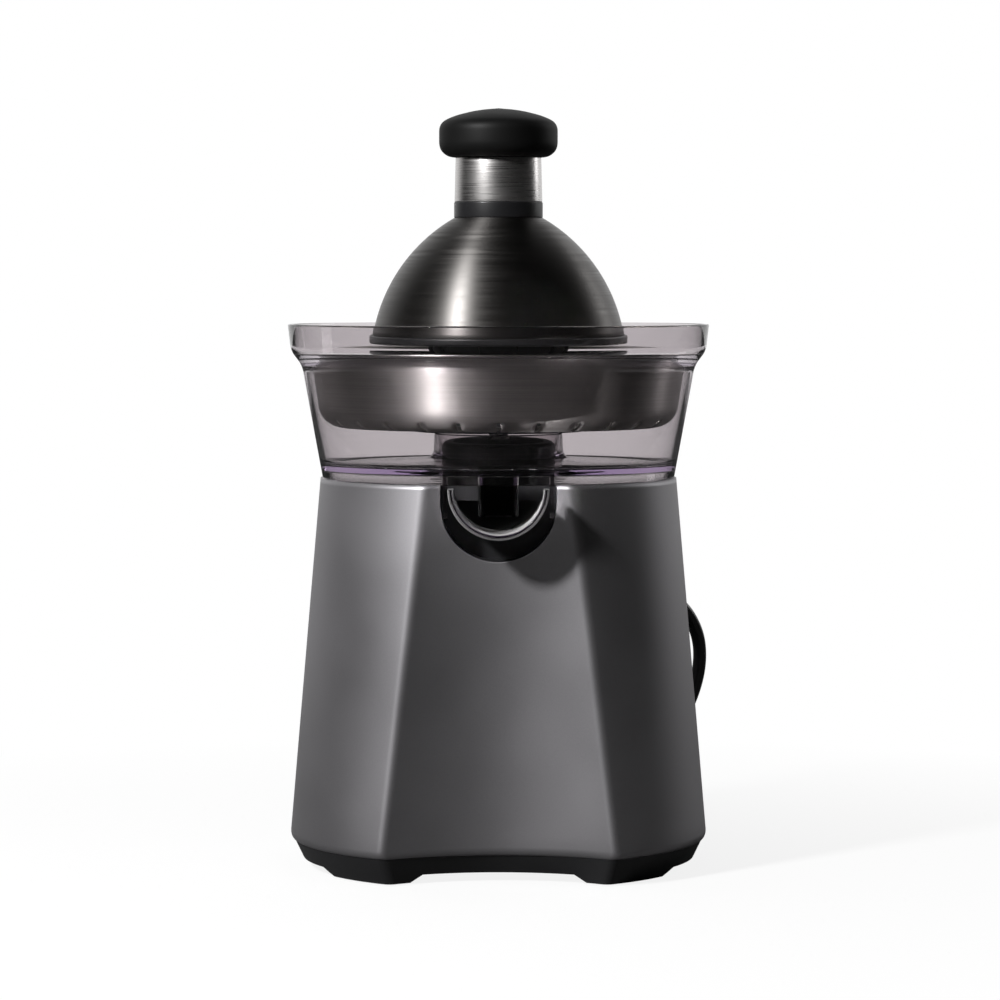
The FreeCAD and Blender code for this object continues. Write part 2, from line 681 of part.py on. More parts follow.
stage_low = "(case_low + case_wall + stage_gap)"
upper_low = f"({stage_low} + stage_height + stage_step)"
upper_high = f"({upper_low} + output_height)"
gear_ceiling = "(case_high - case_wall)"
to_idler = math.radians(number("idler_turn"))
to_motor = math.atan2(number(motor_y) - number(idler_y), -number(idler_x))
half_pinion = math.pi / number("motor_teeth")
half_small = math.pi / number("idler_teeth_small")
output_form = gear("output_form", "output_teeth", upper_low, "output_height", "0", "0", to_idler)
output_hub = cylinder("output_hub", "hub_radius", upper_low, f"case_high - 3.5 - {upper_low} + 0.5")
bore_rod = cylinder("bore_rod", "shaft_radius + run_gap", f"{upper_low} - 1", "case_high")
bore_slab = block("bore_slab", "-shaft_flat - run_gap", "-shaft_radius - 1", f"{upper_low} - 1",
                  "2 * (shaft_flat + run_gap)", "2 * shaft_radius + 2", "case_high")
keep("output_gear", cut("output_gear", joined("output_solid", [output_form, output_hub]),
                        shared("flat_bore", bore_rod, bore_slab)))
idler_wheel = gear("idler_wheel", "idler_teeth_large", stage_low, "stage_height", idler_x, idler_y,
                   to_motor)
idler_small = gear("idler_small", "idler_teeth_small", stage_low, f"{upper_high} + 0.5 - {stage_low}",
                   idler_x, idler_y, to_idler + math.pi + half_small)
idler_bore = cylinder("idler_bore", "idler_pin_radius + run_gap", f"{stage_low} - 1", "case_high", idler_x,
                      idler_y)
keep("idler_gear", cut("idler_gear", joined("idler_solid", [idler_wheel, idler_small]), idler_bore))
keep("idler_pin",
     cylinder("idler_pin", "idler_pin_radius", "case_low", "case_high - case_low", idler_x, idler_y))
pinion_form = gear("pinion_form", "motor_teeth", f"{stage_low} - 0.5", "stage_height + 1", "0", motor_y,
                   to_motor + math.pi + half_pinion)
pinion_bore = cylinder("pinion_bore", "rotor_radius", "case_low", "case_high", "0", motor_y)
keep("motor_pinion", cut("motor_pinion", pinion_form, pinion_bore))

# Gearbox: a round tub and its cover, hung on the deck's posts

case_tub = cylinder("case_tub", "case_radius", "case_low", "case_high - case_wall - case_low", "case_x",
                    "case_y")
case_space = cylinder("case_space", "case_radius - case_wall", "case_low + case_wall", "case_high",
                      "case_x", "case_y")
case_lugs = moved_copies("case_lug",
                         cylinder("case_lug", "post_radius - 1", "case_low",
                                  "case_high - case_wall - case_low"),
                         POST_PLACES)
idler_seat = cylinder("idler_seat", "idler_pin_radius", "case_low - 1", "case_high", idler_x, idler_y)
idler_boss = cylinder("idler_boss", "idler_pin_radius + 3", "case_low", "case_wall + stage_gap - 0.3",
                      idler_x, idler_y)
bush_seat = cylinder("bush_seat", bush_radius, "case_low - 1", "case_wall + 2")
motor_seat = cylinder("motor_seat", "hub_radius", "case_low - 1", "case_wall + 2", "0", motor_y)
screw_holes = moved_copies("screw_hole",
                           cylinder("screw_hole", "screw_radius", "case_low - 1",
                                    "case_high + 8 - case_low"),
                           POST_PLACES)
case_open = cut("case_open", case_tub, case_space)
case_solid = joined("case_solid", [case_open, idler_boss] + case_lugs)
keep("gearbox_case", cut("gearbox_case", case_solid, idler_seat, bush_seat, motor_seat, *screw_holes))
cover_plate = cylinder("cover_plate", "case_radius", "case_high - case_wall", "case_wall", "case_x",
                       "case_y")
cover_hole = cylinder("cover_hole", "hub_radius + 1", "case_low", "case_high")
keep("gearbox_cover", cut("gearbox_cover", cover_plate, cover_hole, idler_seat, *screw_holes))
nodes["top_deck"] = keep("top_deck", cut("top_deck_holes", nodes["top_deck"], *screw_holes))
gearbox_screw = revolved("gearbox_screw", [
    ("0", "case_low - 2.2"),
    ("screw_head", "case_low - 2.2"),
    ("screw_head", "case_low"),
    ("screw_radius", "case_low"),
    ("screw_radius", "case_high + 7"),
    ("0", "case_high + 7"),
])
keep("gearbox_screws", grouped("gearbox_screws", moved_copies("gearbox_screw", gearbox_screw, POST_PLACES)))

# Drive shaft with its two clips and the return spring

shaft_round = revolved("shaft_round", [
    ("0", "shaft_low", "shaft_radius * 1.6", 1),
    ("shaft_radius - 1", "shaft_low + 1.2"),
    ("shaft_radius", "shaft_low + 2.4"),
    ("shaft_radius", "shaft_high - 1"),
    ("shaft_radius - 1", "shaft_high"),
    ("0", "shaft_high"),
])
shaft_lower = cylinder("shaft_lower", "2 * shaft_radius", "shaft_low - 1",
                       f"{upper_low} - shaft_low - press_travel + 1")
shaft_slab = block("shaft_slab", "-shaft_flat", "-2 * shaft_radius", "shaft_low", "2 * shaft_flat",
                   "4 * shaft_radius", "shaft_high")
spring_low = "(case_high - 3)"
spring_clip_low = f"({spring_low} + spring_height)"
stop_clip_low = f"({upper_bush_low} - clip_thick)"
shaft_middle = cylinder("shaft_middle", "2 * shaft_radius", f"{spring_clip_low} + clip_thick + 4",
                        f"{boss_top} + 3 - ({spring_clip_low} + clip_thick + 4)")
shaft_form = shared("shaft_form", shaft_round,
                    joined("shaft_keep", [shaft_lower, shaft_slab, shaft_middle]))


def clip_groove(name, low):
    return revolved(name, ring_profile("shaft_radius - 1", "2 * shaft_radius", low, f"{low} + clip_thick"))


def clip(name, low):
    ring = revolved(name, ring_profile("shaft_radius - 1", "clip_radius", low, f"{low} + clip_thick"))
    mouth = block(name + "_mouth", "-shaft_radius + 1.6", "-2 * clip_radius", low,
                  "2 * shaft_radius - 3.2", "2 * clip_radius", "clip_thick")
    return cut(name, ring, mouth)


keep("drive_shaft", cut("drive_shaft", shaft_form, clip_groove("spring_groove", spring_clip_low),
                        clip_groove("stop_groove", stop_clip_low)))
keep("shaft_clips",
     grouped("shaft_clips", [clip("spring_clip", spring_clip_low), clip("stop_clip", stop_clip_low)]))


def arc_between(start, tangent, end):
    """The arc that leaves start along the tangent and reaches end, or a straight run."""
    chord = end - start
    across = chord - tangent * chord.dot(tangent)
    if across.Length < 1e-6 * chord.Length:
        return Part.LineSegment(start, end).toShape()
    across.normalize()
    radius = chord.Length**2 / (2 * chord.dot(across))
    centre = start + across * radius
    half_turn = math.atan2(chord.dot(across), chord.dot(tangent))
    halfway = start + tangent * radius * math.sin(half_turn) + across * radius * (1 - math.cos(half_turn))
    return Part.Arc(start, halfway, end).toShape()


def biarc(start, tangent_start, end, tangent_end):
    """Two arcs that join two points along their tangents."""
    chord = end - start
    total = tangent_start + tangent_end
    spread = 2 * (1 - tangent_start.dot(tangent_end))
    along = chord.dot(total)
    if spread < 1e-9:
        reach = chord.Length**2 / (4 * chord.dot(tangent_start))
    else:
        reach = (math.sqrt(along**2 + spread * chord.Length**2) - along) / spread
    joint = ((start + tangent_start * reach) + (end - tangent_end * reach)) * 0.5
    first = arc_between(start, tangent_start, joint)
    last = arc_between(end, tangent_end * -1, joint)
    return [first, last]


def wound_path(place, quarters):
    """Biarcs through a winding's points, one each quarter turn; place(u) gives the point after u turns."""
    small = 1e-4
    marks = [quarter / 4 for quarter in range(quarters + 1)]
    points = [place(mark) for mark in marks]
    tangents = [(place(mark + small) - place(mark - small)).normalize() for mark in marks]
    edges = []
    for index in range(quarters):
        edges += biarc(points[index], tangents[index], points[index + 1], tangents[index + 1])
    return edges, points, tangents


def tube(edges, start, tangent, radius):
    path = Part.Wire(Part.__sortEdges__(edges))
    section = Part.Wire(Part.Circle(start, tangent, radius).toShape())
    return path, path.makePipeShell([section], True, False)


def least_gap(place, turns, radius):
    """Least clear distance between neighbouring turns, on points a sixteenth of a turn apart."""
    marks = [mark / 16 for mark in range(int(turns * 16) + 1)]
    points = [place(mark) for mark in marks]
    least = 1e9
    for index, first in enumerate(points):
        for second in points[index + 8:]:
            least = min(least, (first - second).Length)
    return least - 2 * radius


spring_mean = number("hub_radius - 1.4")
spring_wire = number("spring_wire")
spring_turns = int(number("spring_turns"))
spring_base = number(spring_low) + spring_wire / 2
spring_rise = (number("spring_height") - spring_wire) / spring_turns


def spring_place(turns):
    angle = 2 * math.pi * turns
    return Vector(spring_mean * math.cos(angle), spring_mean * math.sin(angle),
                  spring_base + spring_rise * turns)


spring_edges, spring_points, spring_tangents = wound_path(spring_place, 4 * spring_turns)
spring_path, spring_solid = tube(spring_edges, spring_points[0], spring_tangents[0], spring_wire / 2 - 0.02)
return_spring = doc.addObject("Part::Feature", "return_spring")
return_spring.Shape = spring_solid
keep("return_spring", return_spring)
print("return spring, least gap", round(least_gap(spring_place, spring_turns, spring_wire / 2), 2))

# Motor: can with magnets, armature on its shaft, commutator, brushes and fan

can_top = "case_low"
can_low = "(case_low - motor_length)"


def on_motor(piece):
    bind(piece, "Placement.Base.y", motor_y)
    return piece


keep("motor_can", on_motor(revolved("motor_can", [
    ("rotor_radius + 3", f"{can_top} - motor_wall"),
    ("motor_radius - motor_wall", f"{can_top} - motor_wall"),
    ("motor_radius - motor_wall", can_low),
    ("motor_radius", can_low),
    ("motor_radius", f"{can_top} - 3", "3", 1),
    ("motor_radius - 3", can_top),
    ("rotor_radius + 3", can_top),
])))
keep("motor_end_cap", on_motor(revolved("motor_end_cap", [
    ("rotor_radius + 3", f"{can_low} - motor_cap + 2.5"),
    ("motor_radius - 3", f"{can_low} - motor_cap + 2.5"),
    ("motor_radius - 3", can_low),
    ("motor_radius - motor_wall - fit", can_low),
    ("motor_radius", can_low),
    ("motor_radius", f"{can_low} - motor_cap + 3", "3", -1),
    ("motor_radius - 3", f"{can_low} - motor_cap"),
    ("rotor_radius + 3", f"{can_low} - motor_cap"),
])))
bearing_profiles = [(f"{can_top} - motor_wall - 3", can_top),
                    (f"{can_low} - motor_cap", f"{can_low} - motor_cap + 5")]
bearings = [on_motor(revolved("motor_bearing",
                              ring_profile("rotor_radius + run_gap", "rotor_radius + 3", low, high)))
            for low, high in bearing_profiles]
keep("motor_bearings", grouped("motor_bearings", bearings))
armature_low = f"({can_low} + 14)"
magnet_outer = "(motor_radius - motor_wall)"
magnet_ring = on_motor(revolved("magnet_ring", ring_profile(
    f"{magnet_outer} - magnet_thick", magnet_outer, armature_low, f"{armature_low} + armature_height + 4")))
magnet_gap = block("magnet_gap", "-motor_radius * 0.35", f"{motor_y} - motor_radius", armature_low,
                   "motor_radius * 0.7", "2 * motor_radius", "armature_height + 4")
keep("field_magnets", cut("field_magnets", magnet_ring, magnet_gap))
slot_rod = cylinder("slot_rod", "2.4", f"{armature_low} - 1", "armature_height + 2",
                    "armature_radius - 2.6")
slot_neck = block("slot_neck", "armature_radius - 3", "-1", f"{armature_low} - 1", "4", "2",
                  "armature_height + 2")
core = revolved("core",
                ring_profile("rotor_radius", "armature_radius", armature_low,
                             f"{armature_low} + armature_height"))
armature_cut = doc.addObject("Part::Feature", "armature_slots_cut")
doc.recompute()
slot_shape = slot_rod.Shape.fuse(slot_neck.Shape)
slot_total = int(number("armature_slots"))
slot_shapes = []
for index in range(slot_total):
    copy = slot_shape.copy()
    copy.rotate(Vector(0, 0, 0), Vector(0, 0, 1), 360 * index / slot_total)
    slot_shapes.append(copy)
armature_cut.Shape = Part.Compound(slot_shapes)
core_slotted = cut("armature", core, armature_cut)
keep("armature_core", on_motor(core_slotted))
winding = [on_motor(revolved("winding_head", [
    ("rotor_radius + 3", low),
    ("armature_radius - 4", low),
    ("armature_radius - 4", high),
    ("rotor_radius + 3", high),
])) for low, high in ((f"{armature_low} - 4", armature_low),
                      (f"{armature_low} + armature_height", f"{armature_low} + armature_height + 4"))]
keep("armature_windings", grouped("armature_windings", winding))
commutator_low = f"({armature_low} - 5 - commutator_height)"
keep("commutator", on_motor(revolved("commutator", ring_profile(
    "rotor_radius", "commutator_radius", commutator_low, f"{commutator_low} + commutator_height"))))
fan_low = f"({can_low} + 14 + armature_height + 5)"
fan_hub = revolved("fan_hub",
                   ring_profile("rotor_radius", "rotor_radius + 4", fan_low, f"{fan_low} + fan_height"))
fan_disc = revolved("fan_disc", ring_profile("rotor_radius", "fan_radius", fan_low, f"{fan_low} + 1.2"))
fan_blades = []
for index in range(8):
    blade = block("fan_blade", "rotor_radius + 3", "-0.6", fan_low, "fan_radius - rotor_radius - 3", "1.2",
                  "fan_height")
    holder = doc.addObject("Part::Compound", "fan_blade_turned")
    holder.Links = [blade]
    holder.Placement.Rotation = Rotation(Vector(0, 0, 1), 45 * index)
    fan_blades.append(holder)
keep("cooling_fan", on_motor(joined("cooling_fan", [fan_hub, fan_disc] + fan_blades)))
keep("rotor_shaft", on_motor(revolved("rotor_shaft", [
    ("0", f"{can_low} - motor_cap - 2"),
    ("rotor_radius", f"{can_low} - motor_cap - 2"),
    ("rotor_radius", f"{stage_low} + stage_height + 0.5"),
    ("0", f"{stage_low} + stage_height + 0.5"),
])))
brush_low = f"({commutator_low} + 2)"
brushes = [block("brush", x, f"{motor_y} - 2.5", brush_low, "9", "5", "commutator_height - 4")
           for x in ("commutator_radius + run_gap", "-commutator_radius - run_gap - 9")]
keep("carbon_brushes", grouped("carbon_brushes", brushes))
holders = [cut("brush_holder", block("brush_holder", x, f"{motor_y} - 4.5", f"{brush_low} - 2", "12", "9",
                                     "commutator_height"), brush)
           for x, brush in zip(("commutator_radius + 2", "-commutator_radius - 14"), brushes)]
keep("brush_holders", grouped("brush_holders", holders))

# Start switch: the shaft's end tips the lever, which pushes the plunger

lever_top = "(shaft_low - lever_gap)"
lever_axis = f"({lever_top} - lever_thick / 2)"
switch_top = f"({lever_top} - lever_thick - switch_gap)"
switch_back = "(-lever_arm - 4)"
switch_box = block("switch_box", switch_back, "-switch_width / 2", f"{switch_top} - switch_height",
                   "switch_length", "switch_width", "switch_height")
switch_ears = [block("switch_ear", switch_back, y, switch_top, "8", "1.6",
                     f"{lever_top} - {switch_top} + 1")
               for y in ("-switch_width / 2", "switch_width / 2 - 1.6")]
plunger_x = "(-lever_arm / 2)"
plunger_hole = cylinder("plunger_hole", "plunger_radius + run_gap", f"{switch_top} - 6", "10", plunger_x)


def pivot_rod(name, radius, half):
    rod = cylinder(name, radius, lever_axis, f"2 * ({half})", "-lever_arm", f"({half})")
    rod.Placement.Rotation = Rotation(Vector(1, 0, 0), 90)
    return rod


switch_pin = pivot_rod("switch_pin", "0.9", "switch_width / 2")
keep("start_switch",
     cut("start_switch", joined("switch_solid", [switch_box, switch_pin] + switch_ears), plunger_hole))
keep("switch_plunger", cylinder("switch_plunger", "plunger_radius", f"{switch_top} - 3",
                                f"{lever_top} - lever_thick - plunger_gap - {switch_top} + 3", plunger_x))
lever_plate = block("lever_plate", "-lever_arm", "-switch_width / 2 + 2", f"{lever_top} - lever_thick",
                    "lever_arm + 7", "switch_width - 4", "lever_thick")
lever_eye = pivot_rod("lever_eye", "1.7", "switch_width / 2 - 2")
lever_hole = pivot_rod("lever_hole", "0.9 + run_gap", "switch_width")
keep("switch_lever", cut("switch_lever", joined("lever_solid", [lever_plate, lever_eye]), lever_hole))
bracket_wall = block("bracket_wall", switch_back, "-switch_width / 2 - 2", f"{switch_top} - switch_height",
                     "switch_length", "2", f"case_low - {switch_top} + switch_height")
bracket_foot = block("bracket_foot", switch_back, "-switch_width / 2 - 12", "case_low - 2",
                     "switch_length", "12", "2")
keep("switch_bracket", joined("switch_bracket", [bracket_wall, bracket_foot]))

# Circuit board on two pillars of the base

floor_top = "(arch_height + tray_floor)"
board_low = f"({floor_top} + 8)"
board_x = "(-board_length - 10)"
board_y = "(-board_width / 2 - 15)"
keep("circuit_board",
     block("circuit_board", board_x, board_y, board_low, "board_length", "board_width", "1.6"))
keep("board_pillars", grouped("board_pillars", [
    cylinder("board_pillar", "3", floor_top, "8", f"{board_x} + {x} * board_length",
             f"{board_y} + 0.5 * board_width")
    for x in (0.1, 0.9)]))
capacitor = cylinder("capacitor", "6", f"{board_low} + 1.6", "16", f"{board_x} + 10", f"{board_y} + 9")
relay = block("relay", f"{board_x} + 20", f"{board_y} + 4", f"{board_low} + 1.6", "18", "14", "12")
keep("board_components", grouped("board_components", [capacitor, relay]))

# Juice bowl: clear wall, collar with a ledge for the strainer, chimney over the boss

floor_under = "(bowl_floor - bowl_wall)"
ledge = "(bowl_collar_low - 1)"
foot_inner = "(bowl_foot_radius - bowl_wall)"
bowl_turned = revolved("bowl_turned", [
    (foot_inner, "housing_top"),
    ("bowl_foot_radius", "housing_top"),
    ("bowl_wall_radius", "bowl_wall_top"),
    ("bowl_collar_radius", "bowl_collar_low"),
    ("bowl_rim_radius", "bowl_rim_top - 0.8", "0.8", 1),
    ("bowl_rim_radius - 0.8", "bowl_rim_top"),
    ("bowl_rim_radius - bowl_wall", "bowl_rim_top"),
    ("bowl_collar_radius - bowl_wall", ledge),
    ("strainer_radius + 1.2", ledge),
    ("bowl_wall_radius - bowl_wall", "bowl_wall_top - 1"),
    (f"{foot_inner} + 1", "bowl_floor"),
    ("chimney_radius + 2", "bowl_floor + bowl_floor_rise"),
    ("chimney_radius", "bowl_floor + bowl_floor_rise + 2"),
    ("chimney_radius - 0.4", "chimney_top"),
    ("chimney_radius - bowl_wall", "chimney_top"),
    ("chimney_radius - bowl_wall", f"{floor_under} + bowl_floor_rise"),
    (foot_inner, floor_under),
])
nozzle_wall = 2


def nozzle(name, inset, low, high):
    return block(name, f"-nozzle_half + {inset}", f"-nozzle_at - nozzle_depth / 2 + {inset}", low,
                 f"2 * (nozzle_half - {inset})", f"nozzle_depth - 2 * {inset}", f"({high}) - ({low})")


lug_outer = "(spout_radius + 0.3 + spout_lug)"


def lug(name, x):
    outline = [
        ("-spout_pivot_at - 4", f"{floor_under} + 0.5"),
        ("-spout_pivot_at - 4", "spout_pivot_height", "4", 1),
        ("-spout_pivot_at", "spout_pivot_height - 4", "4", 1),
        ("-spout_pivot_at + 4", "spout_pivot_height"),
        ("-spout_pivot_at + 4", f"{floor_under} + 0.5"),
    ]
    return padded(name, "YZ_Plane", outline, x, "spout_lug")


lugs = [lug("lug_right", "spout_radius + 0.3"), lug("lug_left", f"-{lug_outer}")]
pin_holes = lying_cylinder("pin_holes", "spout_pin_radius + run_gap", "-boss_radius", "-spout_pivot_at",
                           "spout_pivot_height", "2 * boss_radius")
nozzle_pipe = nozzle("nozzle_pipe", 0, "nozzle_low", f"{floor_under} + 0.5")
nozzle_bore = nozzle("nozzle_bore", nozzle_wall, "nozzle_low - 1", "bowl_floor + bowl_floor_rise + 1")
bowl_solid = joined("bowl_solid", [bowl_turned, nozzle_pipe] + lugs)
keep("juice_bowl", cut("juice_bowl", bowl_solid, nozzle_bore, pin_holes))

# Drip spout: half-round trough on two pins under the bowl


def trough_outline(radius, top):
    return [
        (f"-({radius})", top),
        (f"-({radius})", "spout_centre - 0.02", radius, 1),
        ("0", f"spout_centre - 0.02 - {radius}", radius, 1),
        (radius, "spout_centre - 0.02"),
        (radius, top),
    ]


spout_outside = padded("spout_outside", "XZ_Plane", trough_outline("spout_radius", "spout_centre"),
                       "spout_rear",
                       "spout_front - spout_rear")
spout_inside = padded("spout_inside", "XZ_Plane",
                      trough_outline("(spout_radius - spout_wall)", "spout_centre + 1"),
                      "spout_rear + spout_wall", "spout_front")
spout_lower = block("spout_lower", "-spout_radius - 1", "-bowl_foot_radius - 3",
                    "spout_centre - spout_step",
                    "2 * spout_radius + 2", "bowl_foot_radius", "spout_step + 2")
pins = [lying_cylinder("spout_pin", "spout_pin_radius", x, "-spout_pivot_at", "spout_pivot_height",
                       "2 * spout_wall + spout_lug + 0.8")
        for x in ("spout_radius - 2 * spout_wall", f"-{lug_outer} - 0.5")]
spout_shell = cut("spout_shell", spout_outside, spout_inside, spout_lower)
keep("drip_spout", joined("drip_spout", [spout_shell] + pins))

# Strainer basket: drawn steel with radial slots round its floor

strainer = revolved("strainer", [
    ("hub_bore + 4", "strainer_floor"),
    ("strainer_radius_low - strainer_corner", "strainer_floor", "strainer_corner", 1),
    ("strainer_radius_low", "strainer_floor + strainer_corner"),
    ("strainer_radius", ledge),
    ("strainer_rim_radius", ledge),
    ("strainer_rim_radius", f"{ledge} + sheet"),
    ("strainer_radius - sheet", f"{ledge} + sheet"),
    ("strainer_radius_low - sheet", "strainer_floor + strainer_corner", "strainer_corner - sheet", -1),
    ("strainer_radius_low - strainer_corner", "strainer_floor + sheet"),
    ("hub_bore + 4", "strainer_floor + sheet"),
])
slot_sketch = new_sketch(strainer, "XY_Plane", [[
    ("slot_inner", "-slot_width / 2"),
    ("slot_outer", "-slot_width / 2"),
    ("slot_outer", "slot_width / 2"),
    ("slot_inner", "slot_width / 2"),
]], "strainer_floor - 1")
slot = strainer.newObject("PartDesign::Pocket", "juice_slot")
slot.Profile = slot_sketch
slot.Reversed = True
bind(slot, "Length", "strainer_corner")
slots = strainer.newObject("PartDesign::PolarPattern", "juice_slots")
slots.Originals = [slot]
slots.Axis = (slot_sketch, ["N_Axis"])
slots.Angle = 360
bind(slots, "Occurrences", "slot_count")
strainer.Tip = slots
keep("strainer_basket", strainer)
keep("strainer_hub", revolved("strainer_hub", [
    ("hub_bore", "strainer_floor - hub_flange"),
    ("hub_flange_radius", "strainer_floor - hub_flange"),
    ("hub_flange_radius", "strainer_floor"),
    ("hub_bore + 4", "strainer_floor"),
    ("hub_bore + 4", "strainer_floor + sheet"),
    ("hub_bore + 6", "strainer_floor + sheet"),
    ("hub_bore + 3", "strainer_floor + hub_height"),
    ("hub_bore", "strainer_floor + hub_height"),
]))
bush_flange = "(strainer_floor + hub_height + press_travel + 0.5)"
keep("cone_bush", revolved("cone_bush", [
    ("cone_bush_bore", "strainer_floor"),
    ("hub_bore - slide_gap", "strainer_floor"),
    ("hub_bore - slide_gap", bush_flange),
    ("hub_bore + 2", bush_flange),
    ("hub_bore + 2", "cone_base - 0.3"),
    ("cone_bush_bore", "cone_base - 0.3"),
]))

# Reamer cones: a small core cone, and the ribbed large cone over it


def spread(piece, count):
    """Copies of a piece turned evenly round the vertical axis, as one shape."""
    doc.recompute()
    total = int(number(count))
    copies = []
    for index in range(total):
        copy = piece.Shape.copy()
        copy.rotate(Vector(0, 0, 0), Vector(0, 0, 1), 360 * index / total)
        copies.append(copy)
    star = doc.addObject("Part::Feature", piece.Name + "_star")
    star.Shape = copies[0].multiFuse(copies[1:])
    return star


stem_radius = "(cone_bush_bore - run_gap)"
small_turned = revolved("small_turned", [
    ("0", "strainer_floor - 1"),
    (stem_radius, "strainer_floor - 1"),
    (stem_radius, "cone_base"),
    ("small_cone_radius", "cone_base"),
    ("small_cone_radius", "cone_base + 3", "60", 1),
    ("5", "small_cone_tip - 2"),
    ("0", "small_cone_tip"),
])
socket_rod = cylinder("socket_rod", "shaft_radius + run_gap", "strainer_floor - 2",
                      "shaft_high + 0.3 - strainer_floor + 2")
socket_slab = block("socket_slab", "-shaft_flat - run_gap", "-2 * shaft_radius", "strainer_floor - 2",
                    "2 * (shaft_flat + run_gap)", "4 * shaft_radius", "shaft_high")
keep("small_cone", cut("small_cone", small_turned, shared("socket", socket_rod, socket_slab)))
large_outer = revolved("large_outer", [
    ("0", "cone_base"),
    ("cone_radius - 2", "cone_base"),
    ("cone_radius - 2", "cone_base + 4", "85", 1),
    ("tip_radius", "cone_tip - tip_drop", "(tip_radius^2 + tip_drop^2) / (2 * tip_drop)", 1),
    ("0", "cone_tip"),
])
rib_space = revolved("rib_space", [
    ("0", "cone_base"),
    ("cone_radius", "cone_base"),
    ("cone_radius", "cone_base + 4.5", "80", 1),
    ("rib_end_radius", "cone_tip - rib_end_drop"),
    ("0", "cone_tip - rib_end_drop + 4"),
])
rib = padded("rib", "XY_Plane",
             [("0", "-1.9"), ("cone_radius + 1", "-0.7"), ("cone_radius + 1", "0.7"), ("0", "1.9")],
             "cone_base", "cone_tip - cone_base")
doc.recompute()
rib_star = spread(rib, "cone_ribs")
core_space = revolved("core_space", [
    ("0", "cone_base - 1"),
    ("small_cone_radius + fit", "cone_base - 1"),
    ("small_cone_radius + fit", "cone_base + 3", "60", 1),
    ("5 + fit", "small_cone_tip - 2 + fit"),
    ("0", "small_cone_tip + fit"),
])
cone_ribbed = joined("cone_ribbed", [large_outer, shared("cone_ribs_form", rib_star, rib_space)])
keep("large_cone", cut("large_cone", cone_ribbed, core_space))

# Press dome: spun steel over a ribbed liner, with a rim, and a knob on a polished neck

dome_inner_low = "(dome_radius_low - sheet)"
dome_shell = revolved("dome_shell", [
    (dome_inner_low, "dome_low"),
    ("dome_radius_low", "dome_low", "dome_curve", 1),
    ("dome_radius_high", "dome_high"),
    ("bolt_radius + fit", "dome_high"),
    ("bolt_radius + fit", "dome_high - sheet"),
    ("dome_radius_high - sheet / 2", "dome_high - sheet", "dome_curve - sheet", -1),
])
keep("dome_shell", dome_shell)
keep("dome_rim", revolved("dome_rim", [
    ("dome_radius_low - 4", "rim_low"),
    ("rim_radius - 1", "rim_low", "1", 1),
    ("rim_radius", "rim_low + 1"),
    ("rim_radius", "dome_low - 0.6", "0.6", 1),
    ("rim_radius - 0.6", "dome_low"),
    ("dome_radius_low - 4", "dome_low"),
]))
liner_under = "(dome_high - 1.6)"
liner_turned = revolved("liner_turned", [
    ("dome_radius_low - 1.6 - liner_wall", "dome_low"),
    ("dome_radius_low - 1.6", "dome_low", "dome_curve - 1.6", 1),
    ("dome_radius_high - 0.6", liner_under),
    ("0", liner_under),
    ("0", "cone_tip + 0.2"),
    ("9", "cone_tip + 0.2"),
    ("10", f"{liner_under} - liner_wall * 2"),
    ("dome_radius_high - 2", f"{liner_under} - liner_wall * 2", "dome_curve - 4", -1),
])
liner_rib = padded("liner_rib", "XY_Plane", [
    ("0", "-0.9"),
    ("dome_radius_low", "-0.9"),
    ("dome_radius_low", "0.9"),
    ("0", "0.9"),
], "dome_low", "dome_high - dome_low")
liner_band = revolved("liner_band", [
    ("dome_radius_low - 1.6 - liner_wall - liner_rib_depth", "dome_low"),
    ("dome_radius_low - 2", "dome_low", "dome_curve - 2", 1),
    ("dome_radius_high - 1", f"{liner_under} - 0.5"),
    ("dome_radius_high - 2", f"{liner_under} - liner_wall * 2 - liner_rib_depth", "dome_curve - 7", -1),
])
liner_star = shared("liner_ribs_form", spread(liner_rib, "liner_ribs"), liner_band)
bolt_low = "(cone_tip + 4)"
bolt_hole = cylinder("bolt_hole", "bolt_radius + fit", "cone_tip", "dome_high - cone_tip + 1")
head_space = cylinder("head_space", "bolt_radius + 3 + fit", "cone_tip", "4 + 4.2")
keep("dome_liner",
     cut("dome_liner", joined("liner_solid", [liner_turned, liner_star]), bolt_hole, head_space))
keep("neck_ring", revolved("neck_ring", [
    ("bolt_radius + fit", "dome_high"),
    ("ring_radius", "dome_high"),
    ("ring_radius", "ring_top"),
    ("bolt_radius + fit", "ring_top"),
]))
keep("neck_collar", revolved("neck_collar", [
    ("collar_radius_low - collar_wall", "ring_top"),
    ("collar_radius_low", "ring_top"),
    ("collar_radius_high", "collar_top"),
    ("collar_radius_high - collar_wall", "collar_top"),
]))
crown_edge = "(knob_radius - 6)"
crown_low = f"(knob_top - knob_crown + sqrt(knob_crown ^ 2 - {crown_edge} ^ 2))"
knob_turned = revolved("knob_turned", [
    ("0", "collar_top - 12"),
    ("collar_radius_high - collar_wall - 0.3", "collar_top - 12"),
    ("collar_radius_high - collar_wall - 0.3", "collar_top"),
    ("collar_radius_high", "collar_top", "8", -1),
    ("knob_radius - 4.5", "collar_top + 1", "5", 1),
    ("knob_radius", "collar_top + 5.5"),
    ("knob_radius", "knob_top - 10", "8", 1),
    (crown_edge, crown_low, "knob_crown", 1),
    ("0", "knob_top"),
])
knob_bore = cylinder("knob_bore", "bolt_radius", "ring_top", "collar_top - ring_top + 6")
keep("knob", cut("knob", knob_turned, knob_bore))
keep("knob_bolt", revolved("knob_bolt", [
    ("0", "cone_tip + 4.2"),
    ("bolt_radius + 3", "cone_tip + 4.2"),
    ("bolt_radius + 3", "cone_tip + 8.2"),
    ("bolt_radius", "cone_tip + 8.2"),
    ("bolt_radius", "collar_top + 5"),
    ("0", "collar_top + 5"),
]))

